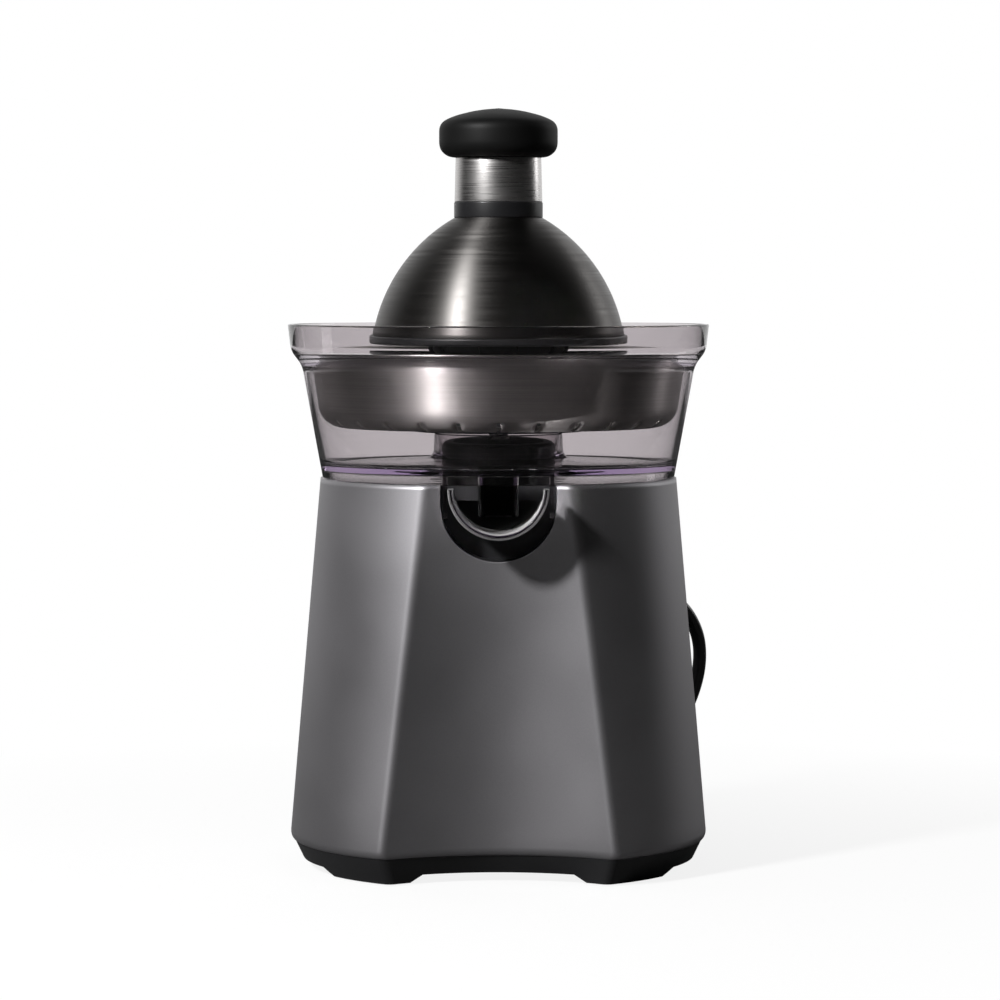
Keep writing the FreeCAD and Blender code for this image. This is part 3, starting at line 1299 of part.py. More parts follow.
# Mains lead: strain relief, free run, tied coil and plug behind the housing

lead_radius = number("lead_diameter / 2")
outward = Vector(number(exit_x), number(exit_y), 0)
exit_slope = "(housing_radius_low - housing_radius_high) / (housing_top - housing_bottom)"
exit_radius = f"(housing_radius_low - {exit_slope} * (lead_exit_height - housing_bottom))"
relief = revolved("relief", [
    ("0", f"{exit_radius} - 6"),
    ("relief_radius + 1", f"{exit_radius} - 6"),
    ("relief_radius + 1", f"{exit_radius} - 3.6"),
    ("relief_radius - 1.2", f"{exit_radius} - 3.6"),
    ("relief_radius - 1.2", f"{exit_radius} + 0.6"),
    ("relief_radius + 1.2", f"{exit_radius} + 0.6"),
    ("relief_radius + 1.2", f"{exit_radius} + 2.6"),
    ("relief_radius", f"{exit_radius} + 3.6"),
    ("lead_diameter / 2 + 1", f"{exit_radius} + relief_length"),
    ("0", f"{exit_radius} + relief_length"),
])
relief.Placement = Placement(Vector(0, 0, number("lead_exit_height")), relief_turn)
keep("cord_strain_relief", relief)
lead_out = outward * (number(exit_radius) + number("relief_length")) + Vector(0, 0,
                                                                              number("lead_exit_height"))
coil_centre = Vector(-10, 143, 0)
coil_pitch = number("lead_diameter + coil_gap")
coil_turns = int(number("coil_turns"))
coil_outer = number("coil_radius") + coil_pitch * coil_turns / 2
coil_low = lead_radius + number("tie_thick") + 0.1
coil_high = coil_low + coil_pitch
COIL_START = -0.25


def coil_place(turns):
    """Spiral in on the floor, climb a layer in the half turn where it reverses, and spiral out above."""
    inner = coil_outer - coil_pitch * coil_turns
    climb = min(max(turns - coil_turns, 0) / 0.5, 1)
    lift = climb * climb * (3 - 2 * climb)
    if turns <= coil_turns:
        radius = coil_outer - coil_pitch * turns
    elif climb < 1:
        radius = inner - coil_pitch * 0.5 * climb * (1 - climb)
    else:
        radius = inner + coil_pitch * (turns - coil_turns - 0.5)
    angle = 2 * math.pi * (COIL_START - turns)
    flat = Vector(radius * math.cos(angle), radius * math.sin(angle),
                  coil_low + (coil_high - coil_low) * lift)
    return coil_centre + flat


coil_quarters = 4 * (2 * coil_turns) + 2
coil_edges, coil_points, coil_tangents = wound_path(coil_place, coil_quarters)
coil_path, coil_solid = tube(coil_edges, coil_points[0], coil_tangents[0], lead_radius)
cord_coil = doc.addObject("Part::Feature", "cord_coil")
cord_coil.Shape = coil_solid
keep("cord_coil", cord_coil)
coil_gap_found = least_gap(coil_place, coil_quarters / 4, lead_radius)
print("coil, least gap", round(coil_gap_found, 2), "length", round(coil_path.Length))


def rounded_route(points):
    """Straight runs joined by tangent arcs, each as large as its two runs allow."""
    edges = []
    radii = []
    last = points[0]
    for before, corner, after in zip(points, points[1:], points[2:]):
        back = (before - corner).normalize()
        ahead = (after - corner).normalize()
        turn = math.pi - back.getAngle(ahead)
        reach = 0.45 * min((before - corner).Length, (after - corner).Length)
        radii.append(reach / math.tan(turn / 2))
        enter = corner + back * reach
        leave = corner + ahead * reach
        centre_way = (back + ahead).normalize()
        to_centre = radii[-1] / math.cos(turn / 2)
        middle = corner + centre_way * (to_centre - radii[-1])
        edges.append(Part.LineSegment(last, enter).toShape())
        edges.append(Part.Arc(enter, middle, leave).toShape())
        last = leave
    edges.append(Part.LineSegment(last, points[-1]).toShape())
    return edges, radii


def route_tube(label, points):
    """A tube along a rounded route, with its volume set against its section times its length."""
    edges, radii = rounded_route(points)
    start = points[0]
    path, solid = tube(edges, start, (points[1] - start).normalize(), lead_radius)
    feature = doc.addObject("Part::Feature", label)
    feature.Shape = solid
    expected = math.pi * lead_radius**2 * path.Length
    print(label, "length", round(path.Length), "radii", [round(radius) for radius in radii], "volume ratio",
          round(solid.Volume / expected, 4))
    return keep(label, feature)


# The lead's points, chosen by hand: out of the relief in a short arch, down behind the housing to the floor
coil_mouth = coil_points[0]
LEAD_POINTS = [
    (84.3, 99.6, 111),
    (91.4, 107.4, 103),
    (96.2, 112.4, 92),
    (96.9, 115.5, 79),
    (93.9, 117, 65.5),
    (88, 116.8, 52.5),
    (79.9, 115.3, 40),
    (69.5, 113, 29),
    (58, 110.3, 19.5),
    (45, 107.5, 12),
    (31, 105.2, 7.2),
    (18, 103.7, 4.9),
]
mouth_run = coil_mouth - coil_tangents[0] * 2.4 * number("lead_diameter")
first_run = lead_out + outward * 1.8 * number("lead_diameter")
lead_route = [lead_out, first_run] + [Vector(*point) for point in LEAD_POINTS] + [mouth_run, coil_mouth]
route_tube("cord_lead", lead_route)
coil_end = coil_points[-1]
TAIL_STEPS = [(24, 3.4, -1.6), (35, 8.6, -4.4), (46, 15.8, -4.4)]
tail_start = coil_end + coil_tangents[-1] * 1.9 * number("lead_diameter")
tail_points = [coil_end, tail_start] + [coil_end + Vector(*step) for step in TAIL_STEPS]
route_tube("cord_tail", tail_points)

tie_inner = coil_outer - 1.75 * coil_pitch - lead_radius - 0.8
tie_outer = coil_outer - 0.75 * coil_pitch + lead_radius + 0.8
tie_top = coil_high + lead_radius + 0.3
tie_thick = number("tie_thick")
tie_width = number("tie_width")
tie_low = coil_low - lead_radius - 0.05
tie_block = Part.makeBox(tie_outer - tie_inner + 2 * tie_thick, tie_width,
                         tie_top - tie_low + 2 * tie_thick,
                         coil_centre + Vector(tie_inner - tie_thick, -tie_width / 2, tie_low - tie_thick))
tie_space = Part.makeBox(tie_outer - tie_inner, tie_width, tie_top - tie_low,
                         coil_centre + Vector(tie_inner, -tie_width / 2, tie_low))
cord_tie = doc.addObject("Part::Feature", "cord_tie")
cord_tie.Shape = tie_block.cut(tie_space)
keep("cord_tie", cord_tie)

plug_way = (tail_points[-1] - tail_points[-2])
plug_turn = Rotation(Vector(0, 0, 1), math.degrees(math.atan2(plug_way.y, plug_way.x)))
plug_place = Placement(tail_points[-1], plug_turn)
plug_outline = [
    ("0", "-lead_diameter / 2 - 1.5"),
    ("plug_length * 0.3", "-lead_diameter / 2 - 2.5"),
    ("plug_length * 0.6", "-plug_half"),
    ("plug_length", "-plug_half"),
    ("plug_length", "plug_half"),
    ("plug_length * 0.6", "plug_half"),
    ("plug_length * 0.3", "lead_diameter / 2 + 2.5"),
    ("0", "lead_diameter / 2 + 1.5"),
]
plug_body = padded("plug_body", "XY_Plane", plug_outline, "-plug_thick / 2", "plug_thick")
doc.recompute()


def plug_corner(edge):
    return edge.BoundBox.ZLength > number("plug_thick") / 2 and edge.BoundBox.XMin > 1


def edge_names(shape, wanted):
    return [f"Edge{index}" for index, edge in enumerate(shape.Edges, 1) if wanted(edge)]


def round_edges(body, radius, wanted):
    base = body.Tip
    fillet = body.newObject("PartDesign::Fillet", body.Name + "_round")
    fillet.Base = (base, edge_names(base.Shape, wanted))
    bind(fillet, "Radius", radius)
    doc.recompute()


round_edges(plug_body, "4", plug_corner)


def plug_side(edge):
    return edge.BoundBox.ZLength < 0.01 and edge.BoundBox.XMax > 1


round_edges(plug_body, "2", plug_side)
plug_body.Placement = plug_place
keep("plug_body", plug_body)
pins_side = [lying_cylinder("plug_pin", "plug_pin_radius", "plug_length", y, "0", "plug_pin_length")
             for y in ("plug_pin_half", "-plug_pin_half")]
plug_pins = grouped("plug_pins", pins_side)
plug_pins.Placement = plug_place
keep("plug_pins", plug_pins)

# Columns of the deck that stand on the base, and the screws that close the housing from below

COLUMN_PLACES = [(-64, 30), (-64, -30), (62, -32)]
column = cylinder("column", "column_radius", floor_top, f"housing_top - deck_thick - {floor_top}")
columns = moved_copies("column", column, COLUMN_PLACES)
base_screw = revolved("base_screw", [
    ("0", "arch_height - 2.2"),
    ("screw_head", "arch_height - 2.2"),
    ("screw_head", "arch_height"),
    ("screw_radius", "arch_height"),
    ("screw_radius", f"{floor_top} + 9"),
    ("0", f"{floor_top} + 9"),
])
base_holes = moved_copies("base_hole", cylinder("base_hole", "screw_radius", "0", f"{floor_top} + 9"),
                          COLUMN_PLACES)
keep("base_screws", grouped("base_screws", moved_copies("base_screw", base_screw, COLUMN_PLACES)))
keep("top_deck", cut("deck_drilled", joined("deck_columns", [nodes["top_deck"]] + columns), *base_holes))
keep("base_tray", cut("tray_drilled", nodes["base_tray"], *base_holes))

# Every piece is whole before any file is written

doc.recompute()
failed = [item.Name for item in doc.Objects if "Invalid" in item.State or "Error" in item.State]
failed += [label for label, item in nodes.items() if item.Shape.isNull() or not item.Shape.isValid()]
if failed:
    raise RuntimeError("failed: " + ", ".join(failed))
os.makedirs("parts", exist_ok=True)
for label, item in nodes.items():
    item.Shape.exportStep(f"parts/{label}.step")
print(len(nodes), "pieces")
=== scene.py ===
import math

import bmesh
import bpy
import numpy as np
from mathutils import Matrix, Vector


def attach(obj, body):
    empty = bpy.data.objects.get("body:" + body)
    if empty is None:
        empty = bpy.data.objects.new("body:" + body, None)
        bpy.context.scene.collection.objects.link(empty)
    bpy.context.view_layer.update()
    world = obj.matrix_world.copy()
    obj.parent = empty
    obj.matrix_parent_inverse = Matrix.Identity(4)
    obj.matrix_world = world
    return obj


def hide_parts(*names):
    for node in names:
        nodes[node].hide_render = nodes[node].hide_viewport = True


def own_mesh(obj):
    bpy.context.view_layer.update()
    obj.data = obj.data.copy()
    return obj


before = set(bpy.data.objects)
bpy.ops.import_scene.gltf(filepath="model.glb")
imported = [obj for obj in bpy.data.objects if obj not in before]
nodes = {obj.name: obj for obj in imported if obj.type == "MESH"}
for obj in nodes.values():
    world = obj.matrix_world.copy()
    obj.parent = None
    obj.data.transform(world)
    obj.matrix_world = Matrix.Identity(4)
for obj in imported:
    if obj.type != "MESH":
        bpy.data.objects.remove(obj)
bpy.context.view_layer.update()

# Camera: level with the press dome, a long lens about two paces in front of it,
# aimed a little downwards so that the picture's middle falls just under the housing's top.
MM = 0.001
EYE = Vector((0.0, -1.8, 0.2628))
AIM = Vector((0.0007, 0.0, 0.1642))
PIXELS_PER_METRE = 2220
PICTURE_WIDTH = 1000
SENSOR_WIDTH = 36
lens_data = bpy.data.cameras.new("camera")
lens_data.sensor_width = SENSOR_WIDTH
lens_data.lens = PIXELS_PER_METRE * (AIM - EYE).length / PICTURE_WIDTH * SENSOR_WIDTH
camera = bpy.data.objects.new("camera", lens_data)
camera.location = EYE
camera.rotation_euler = (AIM - EYE).to_track_quat("-Z", "Y").to_euler()
bpy.context.collection.objects.link(camera)
bpy.context.scene.camera = camera

# Mains lead: a round black PVC-sheathed cable out of the strain relief at the right rear, down to the table,
# wound into a small tied coil behind the housing and ending in a moulded plug with two round pins.
LEAD_DIAMETER = 6.4
EXIT_TURN = math.radians(50)
EXIT_REACH = 106.126
EXIT_HEIGHT = 115
FIRST_RUN = 11.52
LEAD_POINTS = [
    (84.3, 99.6, 111),
    (91.4, 107.4, 103),
    (96.2, 112.4, 92),
    (96.9, 115.5, 79),
    (93.9, 117, 65.5),
    (88, 116.8, 52.5),
    (79.9, 115.3, 40),
    (69.5, 113, 29),
    (58, 110.3, 19.5),
    (45, 107.5, 12),
    (31, 105.2, 7.2),
    (18, 103.7, 4.9),
    (5.4, 102.9, 4.3),
]
COIL_CENTRE = np.array([-10.0, 143.0])
COIL_OUTER = 40.1
COIL_PITCH = 7.1
COIL_TURNS = 2
COIL_CLIMB = 0.5
COIL_START = -0.25
COIL_LOW = 4.3
POINTS_PER_TURN = 16
TAIL_STEPS = [(12.16, 0, 0), (24, 3.4, -1.6), (35, 8.6, -4.4), (46, 15.8, -4.4)]


def coil_line():
    """A flat spiral in, r = outer - pitch t, a half turn that climbs one pitch by a smooth step,
    and the same spiral out again above it, sampled evenly in turns t."""
    total = 2 * COIL_TURNS + COIL_CLIMB
    t = np.linspace(0, total, int(total * POINTS_PER_TURN) + 1)
    inner = COIL_OUTER - COIL_PITCH * COIL_TURNS
    climb = np.clip((t - COIL_TURNS) / COIL_CLIMB, 0, 1)
    lift = climb * climb * (3 - 2 * climb)
    going_in = COIL_OUTER - COIL_PITCH * t
    turning = inner - COIL_PITCH / 2 * climb * (1 - climb)
    going_out = inner + COIL_PITCH * (t - COIL_TURNS - COIL_CLIMB)
    radius = np.where(t <= COIL_TURNS, going_in, np.where(climb < 1, turning, going_out))
    angle = 2 * np.pi * (COIL_START - t)
    flat = COIL_CENTRE + np.stack([radius * np.cos(angle), radius * np.sin(angle)], axis=1)
    return np.column_stack([flat, COIL_LOW + COIL_PITCH * lift])


outward = np.array([math.cos(EXIT_TURN), math.sin(EXIT_TURN), 0])
lead_exit = outward * EXIT_REACH + np.array([0, 0, EXIT_HEIGHT])
coil = coil_line()
lead_route = np.vstack([lead_exit, lead_exit + outward * FIRST_RUN, LEAD_POINTS, coil, coil[-1] + TAIL_STEPS])
lead_curve = bpy.data.curves.new("mains_lead", "CURVE")
lead_curve.dimensions = "3D"
lead_curve.bevel_depth = LEAD_DIAMETER / 2 * MM
lead_curve.bevel_resolution = 5
lead_curve.resolution_u = 6
lead_curve.use_fill_caps = True
spline = lead_curve.splines.new("NURBS")
spline.points.add(len(lead_route) - 1)
spline.points.foreach_set("co", np.column_stack([lead_route * MM, np.ones(len(lead_route))]).ravel())
spline.order_u = 3
spline.use_endpoint_u = True
mains_lead = bpy.data.objects.new("mains_lead", lead_curve)
bpy.context.collection.objects.link(mains_lead)


def group_socket(tree, name, kind, direction, value=None):
    socket = tree.interface.new_socket(name, in_out=direction, socket_type=kind)
    if value is not None:
        socket.default_value = value


def wire(tree, *links):
    """Joins sockets given as (node, output name, node, input name)."""
    for source, output, target, entry in links:
        tree.links.new(source.outputs[output], target.inputs[entry])


def maths(tree, operation, second=None):
    node = tree.nodes.new("ShaderNodeMath")
    node.operation = operation
    if second is not None:
        node.inputs[1].default_value = second
    return node


def noise(tree, detail):
    node = tree.nodes.new("ShaderNodeTexNoise")
    node.inputs["Detail"].default_value = detail
    return node


FINE_SHARE = 0.4


def moulded_grain_group():
    """Fine moulded grain over a slow mottle: both are noise of the Object coordinates."""
    tree = bpy.data.node_groups.new("moulded_grain", "ShaderNodeTree")
    for name, value in (("Scale", 900.0), ("Mottle", 30.0)):
        group_socket(tree, name, "NodeSocketFloat", "INPUT", value)
    for name in ("Shade", "Rough", "Height"):
        group_socket(tree, name, "NodeSocketFloat", "OUTPUT")
    enter = tree.nodes.new("NodeGroupInput")
    leave = tree.nodes.new("NodeGroupOutput")
    place = tree.nodes.new("ShaderNodeTexCoord")
    fine = noise(tree, 3)
    slow = noise(tree, 2)
    blend = maths(tree, "MULTIPLY_ADD", FINE_SHARE)
    wire(tree, (place, "Object", fine, "Vector"), (place, "Object", slow, "Vector"),
         (enter, "Scale", fine, "Scale"), (enter, "Mottle", slow, "Scale"),
         (fine, "Fac", blend, 0), (slow, "Fac", blend, 2),
         (blend, "Value", leave, "Shade"), (slow, "Fac", leave, "Rough"), (fine, "Fac", leave, "Height"))
    return tree


moulded_grain = moulded_grain_group()
MASK_RANGE = (0.3, 0.7)
SHADE_RANGE = (0.35, 0.85)
GLOSS_SPREAD = 0.05


def grained(tree, scale, mottle):
    grain = tree.nodes.new("ShaderNodeGroup")
    grain.node_tree = moulded_grain
    grain.inputs["Scale"].default_value = scale
    grain.inputs["Mottle"].default_value = mottle
    return grain


def ramp_between(tree, start, end, low, high):
    """Rises from low to high while its value goes from start to end."""
    ramp = tree.nodes.new("ShaderNodeMapRange")
    for name, value in (("From Min", start), ("From Max", end), ("To Min", low), ("To Max", high)):
        ramp.inputs[name].default_value = value
    return ramp


def spread_between(tree, source, output, low, high):
    """Maps the middle range of a mask, where most of it lies, to the range from low to high."""
    span = ramp_between(tree, *MASK_RANGE, low, high)
    wire(tree, (source, output, span, "Value"))
    return span


def new_finish(name):
    """A material with an empty tree but for its Principled shader and output."""
    material = bpy.data.materials.new(name)
    material.use_nodes = True
    tree = material.node_tree
    shader = tree.nodes["Principled BSDF"]
    return material, tree, shader


def graded_colour(tree, mask, output, shader, colour, spread):
    """Base colour between a darker and a lighter version of the written one."""
    ramp = tree.nodes.new("ShaderNodeValToRGB")
    for element, place, factor in zip(ramp.color_ramp.elements, SHADE_RANGE, (1 - spread, 1 + spread)):
        element.position = place
        element.color = [min(channel * factor, 1) for channel in colour] + [1]
    wire(tree, (mask, output, ramp, "Fac"), (ramp, "Color", shader, "Base Color"))


def raised(tree, mask, output, shader, strength, depth):
    bump = tree.nodes.new("ShaderNodeBump")
    bump.inputs["Strength"].default_value = strength
    bump.inputs["Distance"].default_value = depth * MM
    wire(tree, (mask, output, bump, "Height"), (bump, "Normal", shader, "Normal"))


def moulded(name, colour, rough, spread=0.25, scale=900, mottle=30, bump=0.2, depth=0.05, metallic=0.0,
            gleam=0.5):
    """Moulded plastic, rubber or lacquer: grain in colour, gloss and relief."""
    material, tree, shader = new_finish(name)
    grain = grained(tree, scale, mottle)
    graded_colour(tree, grain, "Shade", shader, colour, spread)
    gloss = spread_between(tree, grain, "Rough", rough - GLOSS_SPREAD, rough + GLOSS_SPREAD)
    wire(tree, (gloss, "Result", shader, "Roughness"))
    raised(tree, grain, "Height", shader, bump, depth)
    shader.inputs["Metallic"].default_value = metallic
    shader.inputs["Specular IOR Level"].default_value = gleam
    return material


def dress(material, *names):
    """Gives CAD nodes a finish on their own slots."""
    for name in names:
        nodes[name].material_slots[0].material = material


cord_black = moulded("cord_black", (0.012, 0.012, 0.013), 0.3, scale=500, bump=0.08)
lead_curve.materials.append(cord_black)
plug_black = moulded("plug_black", (0.014, 0.014, 0.015), 0.36, scale=700, bump=0.15)
dress(plug_black, "plug_body", "cord_strain_relief")
dress(moulded("tie_black", (0.02, 0.02, 0.02), 0.6, scale=1200, bump=0.3), "cord_tie")
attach(mains_lead, "body")
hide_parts("cord_lead", "cord_coil", "cord_tail")

# Housing: an injection-moulded shell in satin metallic grey, round and tapered, with a hollowed front panel
# and a half-round opening for the spout at the top of it. It drops over the base and is screwed from below.
HOUSING_LOW = 12.0
HOUSING_HIGH = 174.5
HOUSING_WALL = 2.5
HOUSING_RADIUS = (94.0, 80.0)
PANEL_HALF = (51.0, 32.0)
PANEL_HOLLOW = (14.0, 4.5)
PANEL_INSET = 0.6
RECESS_HALF = 25.2
RECESS_CENTRE = 166.0
CORNER = 3.0
OPENING_COLUMNS = 49
PANEL_COLUMNS = 12
CORNER_COLUMNS = 9
BACK_COLUMNS = 161


def tapered(z):
    """Radius, half width of the panel and depth of its hollow at heights z, each even from low to high."""
    share = (z - HOUSING_LOW) / (HOUSING_HIGH - HOUSING_LOW)
    return [low + (high - low) * share for low, high in (HOUSING_RADIUS, PANEL_HALF, PANEL_HOLLOW)]


def housing_wall(z, inset):
    """Columns of the outline at heights z: the back is a circle and the front a hollow arc through three
    points, joined by a quadratic curve round each corner; the columns over the spout's opening keep one x
    at all heights."""
    outer, half, hollow = tapered(z[:, None])
    inset = inset[:, None]
    reach = outer - inset
    span = half - PANEL_INSET * inset
    corner = np.sqrt(reach**2 - span**2)
    middle = np.sqrt(outer**2 - half**2) - hollow - inset
    dip = corner - middle
    curve = (span**2 + dip**2) / (2 * dip)
    side = span + CORNER * corner / reach
    front = span - CORNER * np.sqrt(1 - (span / curve) ** 2)
    opening = np.linspace(-1, 1, OPENING_COLUMNS)[None, :] * RECESS_HALF + 0 * reach
    right = RECESS_HALF + (front - RECESS_HALF) * np.linspace(0, 1, PANEL_COLUMNS + 1)[None, 1:]
    front_x = np.hstack([-right[:, ::-1], opening, right])
    front_y = np.sqrt(curve**2 - front_x**2) - middle - curve
    t = np.linspace(0, 1, CORNER_COLUMNS)[None, 1:-1]
    corner_x = (1 - t) ** 2 * front + 2 * t * (1 - t) * span + t**2 * side
    corner_y = (1 - t) ** 2 * front_y[:, -1:] - 2 * t * (1 - t) * corner - t**2 * np.sqrt(reach**2 - side**2)
    start = np.arcsin(side / reach)
    sweep = start + (2 * np.pi - 2 * start) * np.linspace(0, 1, BACK_COLUMNS)[None, :]
    x = np.hstack([front_x, corner_x, reach * np.sin(sweep), -corner_x[:, ::-1]])
    y = np.hstack([front_y, corner_y, -reach * np.cos(sweep), corner_y[:, ::-1]])
    return x, y


EDGE_ROUND = 4.0
EDGE_INSET = 0.65
EDGE_ROWS = 7
PLAIN_ROWS = 24
ARCH_ROWS = 17
CHEEK_ROWS = 5
OPENING_FOOT = 136.0
edge_turn = np.linspace(0, 1, EDGE_ROWS)[:-1] * np.pi / 2
lower_z = HOUSING_LOW + EDGE_ROUND * (1 - np.cos(edge_turn))
lower_inset = EDGE_INSET * EDGE_ROUND * (1 - np.sin(edge_turn))
plain_z = np.linspace(HOUSING_LOW + EDGE_ROUND, OPENING_FOOT, PLAIN_ROWS)
arch_z = np.linspace(OPENING_FOOT, RECESS_CENTRE, ARCH_ROWS)[1:]
cheek_z = np.linspace(RECESS_CENTRE, HOUSING_HIGH, CHEEK_ROWS)[1:]
row_z = np.concatenate([lower_z, plain_z, arch_z, cheek_z])
row_inset = np.concatenate([lower_inset, np.zeros(len(plain_z) + len(arch_z) + len(cheek_z))])
wall_x, wall_y = housing_wall(row_z, row_inset)
grid_z = np.repeat(row_z[:, None], wall_x.shape[1], axis=1)
first_open = PANEL_COLUMNS
last_open = PANEL_COLUMNS + OPENING_COLUMNS - 1
arch_first = len(lower_z) + len(plain_z)
arch_last = arch_first + len(arch_z)
open_x = np.linspace(-1, 1, OPENING_COLUMNS) * RECESS_HALF
arch_line = RECESS_CENTRE - np.sqrt(np.maximum(RECESS_HALF**2 - open_x**2, 0))
arch_share = (arch_z - OPENING_FOOT) / (RECESS_CENTRE - OPENING_FOOT)
arch_rows = OPENING_FOOT + (arch_line[None, :] - OPENING_FOOT) * arch_share[:, None]
grid_z[arch_first:arch_last, first_open:last_open + 1] = arch_rows


def panel_depth(x, z):
    """y of the hollow front at points (x, z): the arc of the outline at each height."""
    outer, half, hollow = tapered(z)
    middle = np.sqrt(outer**2 - half**2) - hollow
    curve = (half**2 + hollow**2) / (2 * hollow)
    return np.sqrt(curve**2 - x**2) - middle - curve


opening_x = wall_x[arch_first:arch_last, first_open:last_open + 1]
wall_y[arch_first:arch_last, first_open:last_open + 1] = panel_depth(opening_x, arch_rows)


MERGE_DISTANCE = 1e-6


def surface(name, points, closed=False, kept=None, sharp=35.0):
    """A mesh of quads over a grid of points in millimetres, rows by columns; closed joins the last column
    to the first, and kept is a mask of the faces that stay. Doubled points at poles are merged, and an
    edge sharper than the angle in degrees stays crisp."""
    rows, columns = points.shape[:2]
    index = np.arange(rows * columns).reshape(rows, columns)
    if closed:
        index = np.hstack([index, index[:, :1]])
    quads = np.stack([index[:-1, :-1], index[:-1, 1:], index[1:, 1:], index[1:, :-1]], axis=-1)
    if kept is not None:
        quads = quads[kept]
    mesh = bpy.data.meshes.new(name)
    mesh.from_pydata((points.reshape(-1, 3) * MM).tolist(), [], quads.reshape(-1, 4).tolist())
    shape = bmesh.new()
    shape.from_mesh(mesh)
    bmesh.ops.remove_doubles(shape, verts=shape.verts, dist=MERGE_DISTANCE)
    loose = [vertex for vertex in shape.verts if not vertex.link_faces]
    bmesh.ops.delete(shape, geom=loose, context="VERTS")
    shape.to_mesh(mesh)
    shape.free()
    mesh.shade_smooth()
    mesh.set_sharp_from_angle(angle=math.radians(sharp))
    piece = bpy.data.objects.new(name, mesh)
    bpy.context.collection.objects.link(piece)
    return piece


def thicken(piece, thickness):
    """Gives a sheet its wall, inwards from its drawn face."""
    wall = piece.modifiers.new("wall", "SOLIDIFY")
    wall.thickness = thickness * MM
    wall.offset = -1.0


housing_points = np.stack([wall_x, wall_y, grid_z], axis=-1)
housing_faces = np.ones((len(row_z) - 1, wall_x.shape[1]), dtype=bool)
housing_faces[arch_last - 1:, first_open:last_open] = False
housing_skin = surface("housing_skin", housing_points, closed=True, kept=housing_faces, sharp=50)
thicken(housing_skin, HOUSING_WALL)
housing_grey = moulded("housing_grey", (0.31, 0.302, 0.316), 0.46, spread=0.1, scale=1600, mottle=12,
                       bump=0.06, depth=0.02, metallic=0.93)
housing_skin.data.materials.append(housing_grey)
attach(housing_skin, "body")
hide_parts("housing")

# Base and deck: fine-grained black mouldings that close the housing below and above; the base stands on four
# rubber pads, and the deck carries the drive boss under the clear bowl and the dark pocket behind the spout.
base_black = moulded("base_black", (0.012, 0.012, 0.013), 0.45, scale=1400, bump=0.25)
dress(base_black, "base_tray")
deck_black = moulded("deck_black", (0.009, 0.009, 0.01), 0.4, scale=1200, bump=0.12)
dress(deck_black, "top_deck", "strainer_hub", "cone_bush", "board_pillars")
dress(moulded("foot_rubber", (0.02, 0.02, 0.02), 0.75, scale=1800, bump=0.4), "foot_pads", "shaft_seal")

# Juice bowl: clear styrene with a faint violet tint in its edges. A tapered wall rises to a stepped collar;
# the floor drains to a square nozzle at the front, and a chimney keeps the juice off the drive boss.
ROUND_STEPS = 7
CIRCLE_COLUMNS = 160


def filleted(corners):
    """A line through (r, z, rounding) corners, each rounded by a quadratic curve that starts and ends the
    rounding's length before and after it."""
    line = []
    last = len(corners) - 1
    for place, (r, z, rounding) in enumerate(corners):
        corner = np.array([r, z])
        if rounding == 0 or place in (0, last):
            line.append(corner[None, :])
            continue
        back = np.array(corners[place - 1][:2]) - corner
        ahead = np.array(corners[place + 1][:2]) - corner
        enter = corner + back * min(rounding / np.linalg.norm(back), 0.5)
        leave = corner + ahead * min(rounding / np.linalg.norm(ahead), 0.5)
        t = np.linspace(0, 1, ROUND_STEPS)[:, None]
        line.append((1 - t) ** 2 * enter + 2 * t * (1 - t) * corner + t**2 * leave)
    return np.vstack(line)


def carried_round(line, angle):
    """A line of (r, z) points at each angle round the vertical axis: (r cos a, r sin a, z)."""
    r = line[:, :1]
    z = np.repeat(line[:, 1:], len(angle), axis=1)
    return np.stack([r * np.cos(angle), r * np.sin(angle), z], axis=-1)


def turned(name, line, columns=CIRCLE_COLUMNS):
    angle = np.linspace(0, 2 * np.pi, columns, endpoint=False)
    return surface(name, carried_round(line, angle), closed=True)


BOWL_LINE = [
    (52, 180.06, 0),
    (76.8, 178.8, 0.8),
    (76.8, 174.5, 0.5),
    (79, 174.5, 0.7),
    (88.3, 225, 3),
    (93.2, 231.5, 2.4),
    (94.6, 243.4, 0.9),
    (92.4, 243.4, 0.9),
    (91, 230.5, 0.6),
    (85.6, 230.5, 0.6),
    (86.1, 224, 1.5),
    (77.8, 181, 3),
    (31.2, 183.5, 1.6),
    (29.2, 185.5, 1.6),
    (28.8, 194.6, 0.6),
    (27, 194.6, 0.6),
    (27, 181.3, 0.6),
    (52, 180.06, 0),
]
bowl_shell = turned("bowl_shell", filleted(BOWL_LINE))
EDGE_VIOLET = (0.72, 0.64, 0.78, 1)
EDGE_DENSITY = 25
BEND = 1.3
FLOW_SCALE = 60
FLOW_MOTTLE = 18
FLOW_GLOSS = 0.02
FLOW_BUMP = 0.04
FLOW_DEPTH = 0.2


